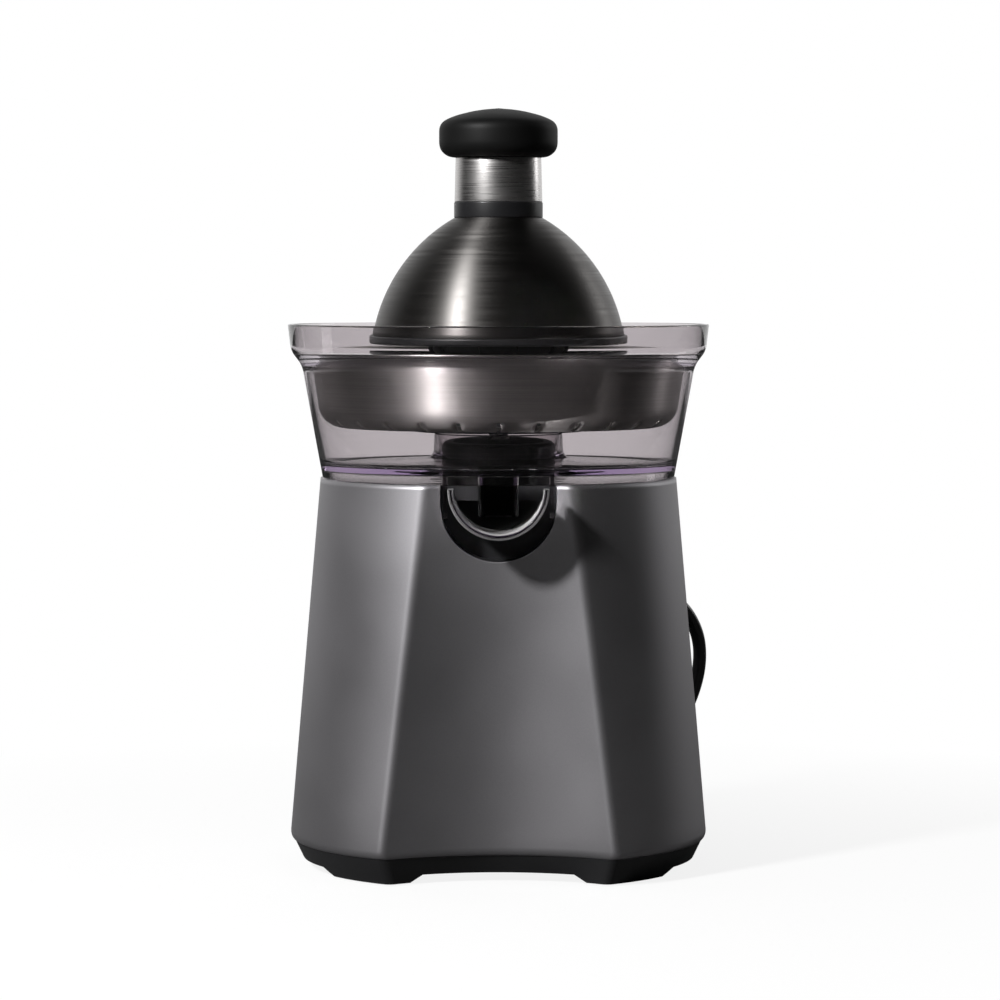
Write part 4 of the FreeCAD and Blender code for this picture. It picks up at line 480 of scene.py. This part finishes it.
def clear_plastic(name, tint, rough, shade, edge_clearness=1.0):
    """Clear moulded plastic: transmission with a little flow in its gloss, and light let through to what is
    behind. An edge clearness under 1 clouds what is seen edge on."""
    material, tree, shader = new_finish(name)
    grain = grained(tree, FLOW_SCALE, FLOW_MOTTLE)
    gloss = spread_between(tree, grain, "Rough", rough, rough + FLOW_GLOSS)
    wire(tree, (gloss, "Result", shader, "Roughness"))
    raised(tree, grain, "Shade", shader, FLOW_BUMP, FLOW_DEPTH)
    shader.inputs["Base Color"].default_value = tint
    facing = tree.nodes.new("ShaderNodeLayerWeight")
    clear = spread_between(tree, facing, "Facing", 1.0, edge_clearness)
    wire(tree, (clear, "Result", shader, "Transmission Weight"))
    shader.inputs["IOR"].default_value = BEND
    depth_tint = tree.nodes.new("ShaderNodeVolumeAbsorption")
    depth_tint.inputs["Color"].default_value = EDGE_VIOLET
    depth_tint.inputs["Density"].default_value = EDGE_DENSITY
    ray = tree.nodes.new("ShaderNodeLightPath")
    let_through = tree.nodes.new("ShaderNodeBsdfTransparent")
    let_through.inputs["Color"].default_value = (shade, shade, shade, 1)
    lit = tree.nodes.new("ShaderNodeMixShader")
    out = tree.nodes["Material Output"]
    wire(tree, (depth_tint, "Volume", out, "Volume"), (ray, "Is Shadow Ray", lit, "Fac"),
         (shader, "BSDF", lit, 1), (let_through, "BSDF", lit, 2), (lit, "Shader", out, "Surface"))
    return material


clear_bowl = clear_plastic("clear_bowl", (0.7, 0.672, 0.68, 1), 0.0, 0.92)
bowl_shell.data.materials.append(clear_bowl)
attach(bowl_shell, "bowl")
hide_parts("juice_bowl")
NOZZLE_MIDDLE = -68.0
NOZZLE_HALF_WIDTH = 8.7
NOZZLE_HALF_DEPTH = 7.0
NOZZLE_TOP = 179.2
NOZZLE_FOOT = 161.0
NOZZLE_WALL = 2.0
NOZZLE_ROUND = 0.5
NOZZLE_SQUARENESS = 7.0
NOZZLE_COLUMNS = 64


def nozzle_loop(inset, z):
    """A squared-off oval at one height: x = a sgn(cos) |cos|^(2/p), y = b sgn(sin) |sin|^(2/p)."""
    angle = np.linspace(0, 2 * np.pi, NOZZLE_COLUMNS, endpoint=False)
    power = 2 / NOZZLE_SQUARENESS
    x = (NOZZLE_HALF_WIDTH - inset) * np.sign(np.cos(angle)) * np.abs(np.cos(angle)) ** power
    y = (NOZZLE_HALF_DEPTH - inset) * np.sign(np.sin(angle)) * np.abs(np.sin(angle)) ** power
    return np.stack([x, y + NOZZLE_MIDDLE, np.full(NOZZLE_COLUMNS, z)], axis=-1)


nozzle_rows = [
    (0, NOZZLE_TOP),
    (0, NOZZLE_FOOT + NOZZLE_ROUND),
    (NOZZLE_ROUND, NOZZLE_FOOT),
    (NOZZLE_WALL - NOZZLE_ROUND, NOZZLE_FOOT),
    (NOZZLE_WALL, NOZZLE_FOOT + NOZZLE_ROUND),
    (NOZZLE_WALL, NOZZLE_TOP),
    (0, NOZZLE_TOP),
]
bowl_nozzle = surface("bowl_nozzle", np.stack([nozzle_loop(*row) for row in nozzle_rows]), closed=True)
ACROSS_X = 0
ACROSS_Y = 1
PIN_PLACE = np.array([-73.0, 164.0])
LUG_ROUND = 4.0
LUG_TOP = 179.0
LUG_INNER = 22.1
LUG_OUTER = 24.1
LUG_COLUMNS = 17


def plate(name, outline, axis, low, high):
    """A flat plate across an axis: an outline in the other two coordinates, drawn at low and at high on that
    axis and closed to its middle on both sides."""
    middle = outline.mean(axis=0)[None, :].repeat(len(outline), axis=0)
    rows = [(middle, low), (outline, low), (outline, high), (middle, high)]
    points = [np.insert(line, axis, place, axis=1) for line, place in rows]
    return surface(name, np.stack(points), closed=True)


half_turn = np.linspace(np.pi, 2 * np.pi, LUG_COLUMNS)
lug_foot = PIN_PLACE + LUG_ROUND * np.column_stack([np.cos(half_turn), np.sin(half_turn)])
lug_line = np.vstack([(lug_foot[0, 0], LUG_TOP), lug_foot, (lug_foot[-1, 0], LUG_TOP)])
bowl_lugs = [
    plate("bowl_lug_right", lug_line, ACROSS_X, LUG_INNER, LUG_OUTER),
    plate("bowl_lug_left", lug_line, ACROSS_X, -LUG_OUTER, -LUG_INNER),
]
for piece in [bowl_nozzle] + bowl_lugs:
    piece.data.materials.append(clear_bowl)
    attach(piece, "bowl")

# Drip spout: a clear half-round trough hung by two pins under the bowl's nozzle. Its high lip stands out of
# the housing's opening; pushed up at the front, it tips back and stops the drip.
SPOUT_RADIUS = 21.8
SPOUT_WALL = 2.4
SPOUT_CENTRE = 173.6
SPOUT_DROP = 7.0
SPOUT_COLUMNS = 49
REAR_WALL = (-59.4, -57.4)
REAR_COLUMNS = 41
SPOUT_STATIONS = [
    (-94.2, 0.0, 0.0),
    (-94.1, 0.4, 0.0),
    (-93.85, 0.7, 0.0),
    (-93.5, 0.9, 0.0),
    (-93, 1.0, 0.0),
    (-82.1, 1.0, 0.0),
    (-82, 1.0, SPOUT_DROP),
    (-70, 1.0, SPOUT_DROP),
    (-57.8, 1.0, SPOUT_DROP),
    (-57, 0.0, SPOUT_DROP),
]


def trough_angles(drop, columns):
    """Angles round the lower half of a circle, cut off the drop below its centre."""
    cut_off = np.arcsin(drop / SPOUT_RADIUS)
    return np.pi + cut_off + (np.pi - 2 * cut_off) * np.linspace(0, 1, columns)


def trough(stations):
    """Half rings at stations (y, share of the wall, drop): the outer arc out and the inner arc back;
    a share of 0 closes the wall to its middle line."""
    rows = []
    for y, share, drop in stations:
        closing = SPOUT_WALL / 2 * (1 - share)
        radii = [SPOUT_RADIUS - closing, SPOUT_RADIUS - SPOUT_WALL + closing]
        loop_r = np.repeat(radii, SPOUT_COLUMNS)
        angle = trough_angles(drop, SPOUT_COLUMNS)
        loop_a = np.concatenate([angle, angle[::-1]])
        z = SPOUT_CENTRE + loop_r * np.sin(loop_a)
        rows.append(np.column_stack([loop_r * np.cos(loop_a), np.full(len(loop_a), y), z]))
    return np.stack(rows)


spout_trough = surface("spout_trough", trough(SPOUT_STATIONS), closed=True)
rear_angle = trough_angles(SPOUT_DROP, REAR_COLUMNS)
rear_arc = (SPOUT_RADIUS - SPOUT_WALL) * np.column_stack([np.cos(rear_angle), np.sin(rear_angle)])
rear_arc[:, 1] += SPOUT_CENTRE
spout_rear = plate("spout_rear", rear_arc, ACROSS_Y, *REAR_WALL)
clear_spout = clear_plastic("clear_spout", (0.92, 0.905, 0.91, 1), 0.06, 0.4, edge_clearness=0.45)
for piece in (spout_trough, spout_rear):
    piece.data.materials.append(clear_spout)
    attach(piece, "spout")
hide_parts("drip_spout")

# Strainer: spun stainless sheet, brushed round its axis, with a ring of narrow slots punched through the
# floor's edge. Its rim hangs on the bowl's ledge, and a black hub in the middle guides the cone.
SLOTS = 28
SLOT_SHARE = 0.117
SLOT_INNER = 46.0
SLOT_OUTER = 78.6
STRAINER_BORE = 22.0
STRAINER_FLOOR = 197.4
FLOOR_RADIUS = 70.0
CORNER_RADIUS = 11.0
CORNER_END = 1.42
WALL_FOOT = (81.2, 209.6)
WALL_TOP = (84.3, 229.9)
WALL_ROWS = 8
RIM_POINTS = [(84.6, 230.4), (85.2, 230.6), (90.0, 230.6)]
STEEL_SHEET = 0.8
SLOT_MARGIN = 0.01
PLAIN_FLOOR_ROWS = 3
SLOTTED_FLOOR_ROWS = 9
SLOTTED_CORNER_ROWS = 8
PLAIN_CORNER_ROWS = 6
BRIDGE_COLUMNS = 7
plain_r = np.linspace(STRAINER_BORE, SLOT_INNER, PLAIN_FLOOR_ROWS)
slotted_r = np.linspace(SLOT_INNER, FLOOR_RADIUS, SLOTTED_FLOOR_ROWS)[1:]
floor_r = np.concatenate([plain_r, slotted_r])
slot_end = np.arcsin((SLOT_OUTER - FLOOR_RADIUS) / CORNER_RADIUS)
slotted_turn = np.linspace(0, slot_end, SLOTTED_CORNER_ROWS)[1:]
plain_turn = np.linspace(slot_end, CORNER_END, PLAIN_CORNER_ROWS)[1:]
corner_turn = np.concatenate([slotted_turn, plain_turn])
corner_r = FLOOR_RADIUS + CORNER_RADIUS * np.sin(corner_turn)
corner_z = STRAINER_FLOOR + CORNER_RADIUS - CORNER_RADIUS * np.cos(corner_turn)
strainer_line = np.vstack([
    np.column_stack([floor_r, np.full(len(floor_r), STRAINER_FLOOR)]),
    np.column_stack([corner_r, corner_z]),
    np.linspace(WALL_FOOT, WALL_TOP, WALL_ROWS),
    RIM_POINTS,
])
slot_sides = np.array([-0.5, 0.5]) * SLOT_SHARE
bridge = np.linspace(SLOT_SHARE / 2, 1 - SLOT_SHARE / 2, BRIDGE_COLUMNS)[1:-1]
sector = np.concatenate([slot_sides, bridge])
strainer_angle = 2 * np.pi / SLOTS * (np.arange(SLOTS)[:, None] + sector[None, :]).ravel()
past_slot_start = strainer_line[:-1, 0] >= SLOT_INNER - SLOT_MARGIN
before_slot_end = strainer_line[1:, 0] <= SLOT_OUTER + SLOT_MARGIN
in_slot_column = np.tile(np.arange(len(sector)) == 0, SLOTS)
solid_faces = ~np.outer(past_slot_start & before_slot_end, in_slot_column)
strainer_points = carried_round(strainer_line, strainer_angle)
strainer_sheet = surface("strainer_sheet", strainer_points, closed=True, kept=solid_faces)
thicken(strainer_sheet, STEEL_SHEET)


def turned_lines_group():
    """Fine lines round the vertical axis: noise of the angle and of the radius plus the height, with the
    second stretched until its grain becomes lines."""
    tree = bpy.data.node_groups.new("turned_lines", "ShaderNodeTree")
    group_socket(tree, "Lines", "NodeSocketFloat", "INPUT", 2500.0)
    for name in ("Shade", "Height"):
        group_socket(tree, name, "NodeSocketFloat", "OUTPUT")
    enter = tree.nodes.new("NodeGroupInput")
    leave = tree.nodes.new("NodeGroupOutput")
    place = tree.nodes.new("ShaderNodeTexCoord")
    split = tree.nodes.new("ShaderNodeSeparateXYZ")
    angle = maths(tree, "ARCTAN2")
    square_x = maths(tree, "MULTIPLY")
    square_sum = maths(tree, "MULTIPLY_ADD")
    radius = maths(tree, "SQRT")
    along = maths(tree, "ADD")
    fine = maths(tree, "MULTIPLY")
    joined = tree.nodes.new("ShaderNodeCombineXYZ")
    lines = noise(tree, 3)
    lines.inputs["Scale"].default_value = 1
    wire(tree, (place, "Object", split, "Vector"), (split, "Y", angle, 0), (split, "X", angle, 1),
         (split, "X", square_x, 0), (split, "X", square_x, 1),
         (split, "Y", square_sum, 0), (split, "Y", square_sum, 1), (square_x, "Value", square_sum, 2),
         (square_sum, "Value", radius, 0), (radius, "Value", along, 0), (split, "Z", along, 1),
         (along, "Value", fine, 0), (enter, "Lines", fine, 1),
         (angle, "Value", joined, "X"), (fine, "Value", joined, "Y"), (joined, "Vector", lines, "Vector"),
         (lines, "Fac", leave, "Shade"), (lines, "Fac", leave, "Height"))
    return tree


turned_lines = turned_lines_group()
QUARTER_TURN = 0.25
LINE_GLOSS = 0.2
LINE_DEPTH = 0.02


def spun_metal(name, colour, rough, lines=2500, spread=0.12, bump=0.1, anisotropic=0.0):
    """Metal brushed or turned round the vertical axis, with its gloss drawn out across the lines."""
    material, tree, shader = new_finish(name)
    brushed = tree.nodes.new("ShaderNodeGroup")
    brushed.node_tree = turned_lines
    brushed.inputs["Lines"].default_value = lines
    graded_colour(tree, brushed, "Shade", shader, colour, spread)
    gloss = spread_between(tree, brushed, "Shade", rough * (1 - LINE_GLOSS), rough * (1 + LINE_GLOSS))
    wire(tree, (gloss, "Result", shader, "Roughness"))
    raised(tree, brushed, "Height", shader, bump, LINE_DEPTH)
    shader.inputs["Metallic"].default_value = 1.0
    shader.inputs["Anisotropic"].default_value = anisotropic
    shader.inputs["Anisotropic Rotation"].default_value = QUARTER_TURN
    if anisotropic:
        tangent = tree.nodes.new("ShaderNodeTangent")
        tangent.direction_type = "RADIAL"
        tangent.axis = "Z"
        wire(tree, (tangent, "Tangent", shader, "Tangent"))
    return material


strainer_steel = spun_metal("strainer_steel", (0.6, 0.58, 0.56), 0.36, lines=6000, spread=0.2, bump=0.1,
                            anisotropic=0.9)
strainer_sheet.data.materials.append(strainer_steel)
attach(strainer_sheet, "strainer")
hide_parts("strainer_basket")

# Reamer: a small ribless core on the drive shaft and a ribbed black cone over it for large fruit.
cone_black = moulded("cone_black", (0.013, 0.013, 0.013), 0.38, scale=1000, bump=0.12)
dress(cone_black, "small_cone", "large_cone", "dome_liner")

# Press dome: spun and polished stainless steel over a plastic liner, with a black rim round its lower edge.
DOME_FOOT = (56.6, 237)
DOME_SHOULDER = (19.8, 291)
DOME_TOP = [(19.2, 291), (3.4, 291)]
DOME_CURVE = 75.0
DOME_ROWS = 40
PRESS_COLUMNS = 192
NECK_COLUMNS = 128


def arc_line(start, end, radius, steps):
    """Points on the arc of a radius from start to end, with its centre to the left of the way."""
    start = np.array(start, dtype=float)
    end = np.array(end, dtype=float)
    half = (end - start) / 2
    chord = np.linalg.norm(half)
    left = np.array([-half[1], half[0]]) / chord
    centre = start + half + left * math.sqrt(radius**2 - chord**2)
    first = math.atan2(*(start - centre)[::-1])
    turn = 2 * math.asin(chord / radius)
    angle = first + turn * np.linspace(0, 1, steps)
    return centre + radius * np.column_stack([np.cos(angle), np.sin(angle)])


dome_line = np.vstack([arc_line(DOME_FOOT, DOME_SHOULDER, DOME_CURVE, DOME_ROWS), DOME_TOP])
dome_skin = turned("dome_skin", dome_line, columns=PRESS_COLUMNS)
thicken(dome_skin, STEEL_SHEET)
# Its base colour is painted dark, far below bare steel: painted shade for the dark room that the polished
# dome reflects.
dome_steel = spun_metal("dome_steel", (0.12, 0.115, 0.111), 0.45, lines=6000, spread=0.08, bump=0.03,
                        anisotropic=0.8)
dome_skin.data.materials.append(dome_steel)
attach(dome_skin, "press")
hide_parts("dome_shell")
rim_black = moulded("rim_black", (0.01, 0.01, 0.011), 0.36, scale=1000, bump=0.1)
RIM_LINE = [
    (52.6, 235.5, 0),
    (52.6, 234, 0.5),
    (58, 234, 1),
    (58, 237, 0.7),
    (52.6, 237, 0.5),
    (52.6, 235.5, 0),
]
dome_band = turned("dome_band", filleted(RIM_LINE), columns=PRESS_COLUMNS)
dome_band.data.materials.append(rim_black)
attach(dome_band, "press")
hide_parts("dome_rim")

# Neck and knob: a black ring and a bright tapered collar between the dome and the palm-sized matt black
# knob, all drawn together by one bolt from below.
RING_LINE = [
    (3.2, 294, 0),
    (3.2, 291, 0.2),
    (19.9, 291, 0.5),
    (19.9, 298, 0.5),
    (3.2, 298, 0.2),
    (3.2, 294, 0),
]
neck_band = turned("neck_band", filleted(RING_LINE), columns=NECK_COLUMNS)
neck_band.data.materials.append(rim_black)
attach(neck_band, "press")
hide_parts("neck_ring")
COLLAR_LINE = [
    (18.3, 308, 0),
    (18.5, 298, 0.3),
    (19.7, 298, 0.4),
    (19.2, 318, 0.4),
    (18, 318, 0.3),
    (18.3, 308, 0),
]
neck_sleeve = turned("neck_sleeve", filleted(COLLAR_LINE), columns=NECK_COLUMNS)
collar_chrome = spun_metal("collar_chrome", (0.74, 0.72, 0.71), 0.3, lines=3000, spread=0.05, bump=0.03)
neck_sleeve.data.materials.append(collar_chrome)
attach(neck_sleeve, "press")
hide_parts("neck_collar")
KNOB_LINE = [
    (0, 323, 0),
    (3, 323, 0),
    (3, 306, 0.2),
    (17.7, 306, 0.4),
    (17.7, 318, 0.3),
    (22.6, 318.2, 2.2),
    (26.6, 321.6, 3.4),
    (26.6, 333.2, 3.5),
    (20.5, 336.4, 4),
    (10, 339.1, 5),
    (0, 340, 0),
]
knob_cap = turned("knob_cap", filleted(KNOB_LINE), columns=NECK_COLUMNS)
knob_black = moulded("knob_black", (0.004, 0.004, 0.004), 0.55, scale=1500, bump=0.3, depth=0.06, gleam=0.15)
knob_cap.data.materials.append(knob_black)
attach(knob_cap, "press")
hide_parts("knob")

# Inside: the drive shaft and its gear train, the motor, the switch and the small board, out of sight in the
# housing. The return spring on the shaft shortens when the cone is pressed down.
plain_steel = spun_metal("plain_steel", (0.5, 0.5, 0.5), 0.28, lines=1500)
dress(plain_steel, "drive_shaft", "shaft_clips", "return_spring", "idler_pin", "rotor_shaft", "knob_bolt",
      "base_screws", "gearbox_screws", "switch_bracket", "switch_lever")
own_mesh(nodes["return_spring"])
dress(spun_metal("motor_steel", (0.4, 0.4, 0.41), 0.35), "motor_can", "armature_core")
dress(spun_metal("bronze", (0.5, 0.3, 0.12), 0.4), "upper_bush", "lower_bush", "motor_bearings",
      "brush_holders")
dress(spun_metal("copper", (0.6, 0.25, 0.1), 0.35, lines=4000), "armature_windings", "commutator")
dress(spun_metal("pin_brass", (0.6, 0.53, 0.4), 0.25), "plug_pins", "motor_pinion")
dress(moulded("gear_nylon", (0.72, 0.71, 0.67), 0.42, spread=0.06), "idler_gear", "output_gear",
      "cooling_fan")
dress(moulded("case_plastic", (0.08, 0.08, 0.085), 0.5), "gearbox_case", "gearbox_cover", "motor_end_cap",
      "start_switch")
dress(moulded("magnet_grey", (0.08, 0.08, 0.08), 0.6), "field_magnets", "carbon_brushes", "board_components")
dress(moulded("switch_red", (0.4, 0.03, 0.02), 0.4), "switch_plunger")
dress(moulded("board_green", (0.03, 0.15, 0.05), 0.35), "circuit_board")

# Studio: a white floor and backdrop, a dark room in front of them, a hard key light at the left,
# a narrow low strip in front for the strainer and a light behind at the right.
FLOOR_HALF = 4000.0
FLOOR_FADE = (0.1, 0.5)
FLOOR_NEAR = 0.86
FLOOR_SEEN = 0.9
FLOOR_UNSEEN = 0.08
FLOOR_ROUGH = 0.9
BACKDROP_FADE = (0.3, 0.8)
SIDE_FADE = (-0.85, -0.6)
ROOM_LEVEL = 0.006
BACKDROP_LEVEL = 0.8
UNDER_ONE_BOUNCE = 0.5
UNDER_THREE_FACES = 2.5


def looked_at(tree):
    """1 for rays from the camera and for those that come straight through clear plastic."""
    ray = tree.nodes.new("ShaderNodeLightPath")
    unreflected = maths(tree, "LESS_THAN", UNDER_ONE_BOUNCE)
    straight = maths(tree, "MULTIPLY")
    seen = maths(tree, "MAXIMUM")
    wire(tree, (ray, "Glossy Depth", unreflected, 0), (unreflected, "Value", straight, 0),
         (ray, "Is Transmission Ray", straight, 1), (ray, "Is Camera Ray", seen, 0),
         (straight, "Value", seen, 1))
    return ray, seen


floor_edge = np.linspace(-FLOOR_HALF, FLOOR_HALF, 3)
floor_x, floor_y = np.meshgrid(floor_edge, floor_edge)
floor = surface("floor", np.stack([floor_x, floor_y, np.zeros_like(floor_x)], axis=-1))
floor_white, floor_tree, floor_shader = new_finish("floor_white")
shown = ramp_between(floor_tree, 0, 1, FLOOR_UNSEEN, FLOOR_SEEN)
floor_shader.inputs["Roughness"].default_value = FLOOR_ROUGH
glow = floor_tree.nodes.new("ShaderNodeEmission")
spot = floor_tree.nodes.new("ShaderNodeTexCoord")
away = floor_tree.nodes.new("ShaderNodeVectorMath")
away.operation = "LENGTH"
fade = ramp_between(floor_tree, *FLOOR_FADE, FLOOR_NEAR, 1.0)
floor_ray, floor_seen = looked_at(floor_tree)
glow_share = maths(floor_tree, "MULTIPLY")
both = floor_tree.nodes.new("ShaderNodeMixShader")
wire(floor_tree, (spot, "Object", away, 0), (away, "Value", fade, "Value"), (fade, "Result", glow_share, 1),
     (floor_seen, "Value", glow_share, 0), (glow_share, "Value", both, "Fac"),
     (floor_shader, "BSDF", both, 1), (glow, "Emission", both, 2),
     (both, "Shader", floor_tree.nodes["Material Output"], "Surface"),
     (floor_ray, "Is Camera Ray", shown, "Value"), (shown, "Result", floor_shader, "Base Color"))
floor.data.materials.append(floor_white)

world = bpy.data.worlds.new("studio")
bpy.context.scene.world = world
world.use_nodes = True
sky = world.node_tree
backdrop = sky.nodes["Background"]
backdrop.inputs["Color"].default_value = (1, 1, 1, 1)
direction = sky.nodes.new("ShaderNodeTexCoord")
parts = sky.nodes.new("ShaderNodeSeparateXYZ")
behind = ramp_between(sky, *BACKDROP_FADE, ROOM_LEVEL, BACKDROP_LEVEL)
sky_ray, sky_seen = looked_at(sky)
beside = ramp_between(sky, *SIDE_FADE, 0.0, 1.0)
one_wall = maths(sky, "LESS_THAN", UNDER_THREE_FACES)
edge_on = maths(sky, "MULTIPLY")
edge_seen = maths(sky, "MULTIPLY")
reflected = maths(sky, "MAXIMUM")
level = maths(sky, "MAXIMUM")
wire(sky, (direction, "Generated", parts, "Vector"), (parts, "Y", behind, "Value"),
     (parts, "Y", beside, "Value"), (sky_ray, "Transmission Depth", one_wall, 0),
     (one_wall, "Value", edge_on, 0), (sky_ray, "Is Transmission Ray", edge_on, 1),
     (edge_on, "Value", edge_seen, 0), (beside, "Result", edge_seen, 1),
     (edge_seen, "Value", reflected, 0), (behind, "Result", reflected, 1),
     (sky_seen, "Value", level, 0), (reflected, "Value", level, 1), (level, "Value", backdrop, "Strength"))
LIGHT_AIM = 0.17
STRAINER_AIM = 0.213


def softbox(name, azimuth, elevation, distance, width, height, power, aim=LIGHT_AIM, spread=180.0):
    """An area lamp round the object, aimed at a height on its axis; azimuth 0 is the front and positive to
    the right, and the spread is the angle of its beam, all in degrees; lengths are in metres."""
    turn = math.radians(azimuth)
    rise = math.radians(elevation)
    way = Vector((math.sin(turn) * math.cos(rise), -math.cos(turn) * math.cos(rise), math.sin(rise)))
    lamp = bpy.data.lights.new(name, "AREA")
    lamp.shape = "RECTANGLE"
    lamp.size = width
    lamp.size_y = height
    lamp.energy = power
    lamp.spread = math.radians(spread)
    holder = bpy.data.objects.new(name, lamp)
    holder.location = Vector((0, 0, aim)) + way * distance
    holder.rotation_euler = (-way).to_track_quat("-Z", "Y").to_euler()
    bpy.context.collection.objects.link(holder)


softbox("key", azimuth=-42, elevation=32, distance=1.6, width=0.16, height=0.16, power=37)
softbox("strip_right", azimuth=28, elevation=3, distance=1.7, width=0.02, height=0.05, power=0.014,
        aim=STRAINER_AIM, spread=2)
softbox("rear_right", azimuth=122, elevation=20, distance=1.6, width=0.3, height=0.8, power=2)
bpy.context.scene.view_settings.view_transform = "Standard"
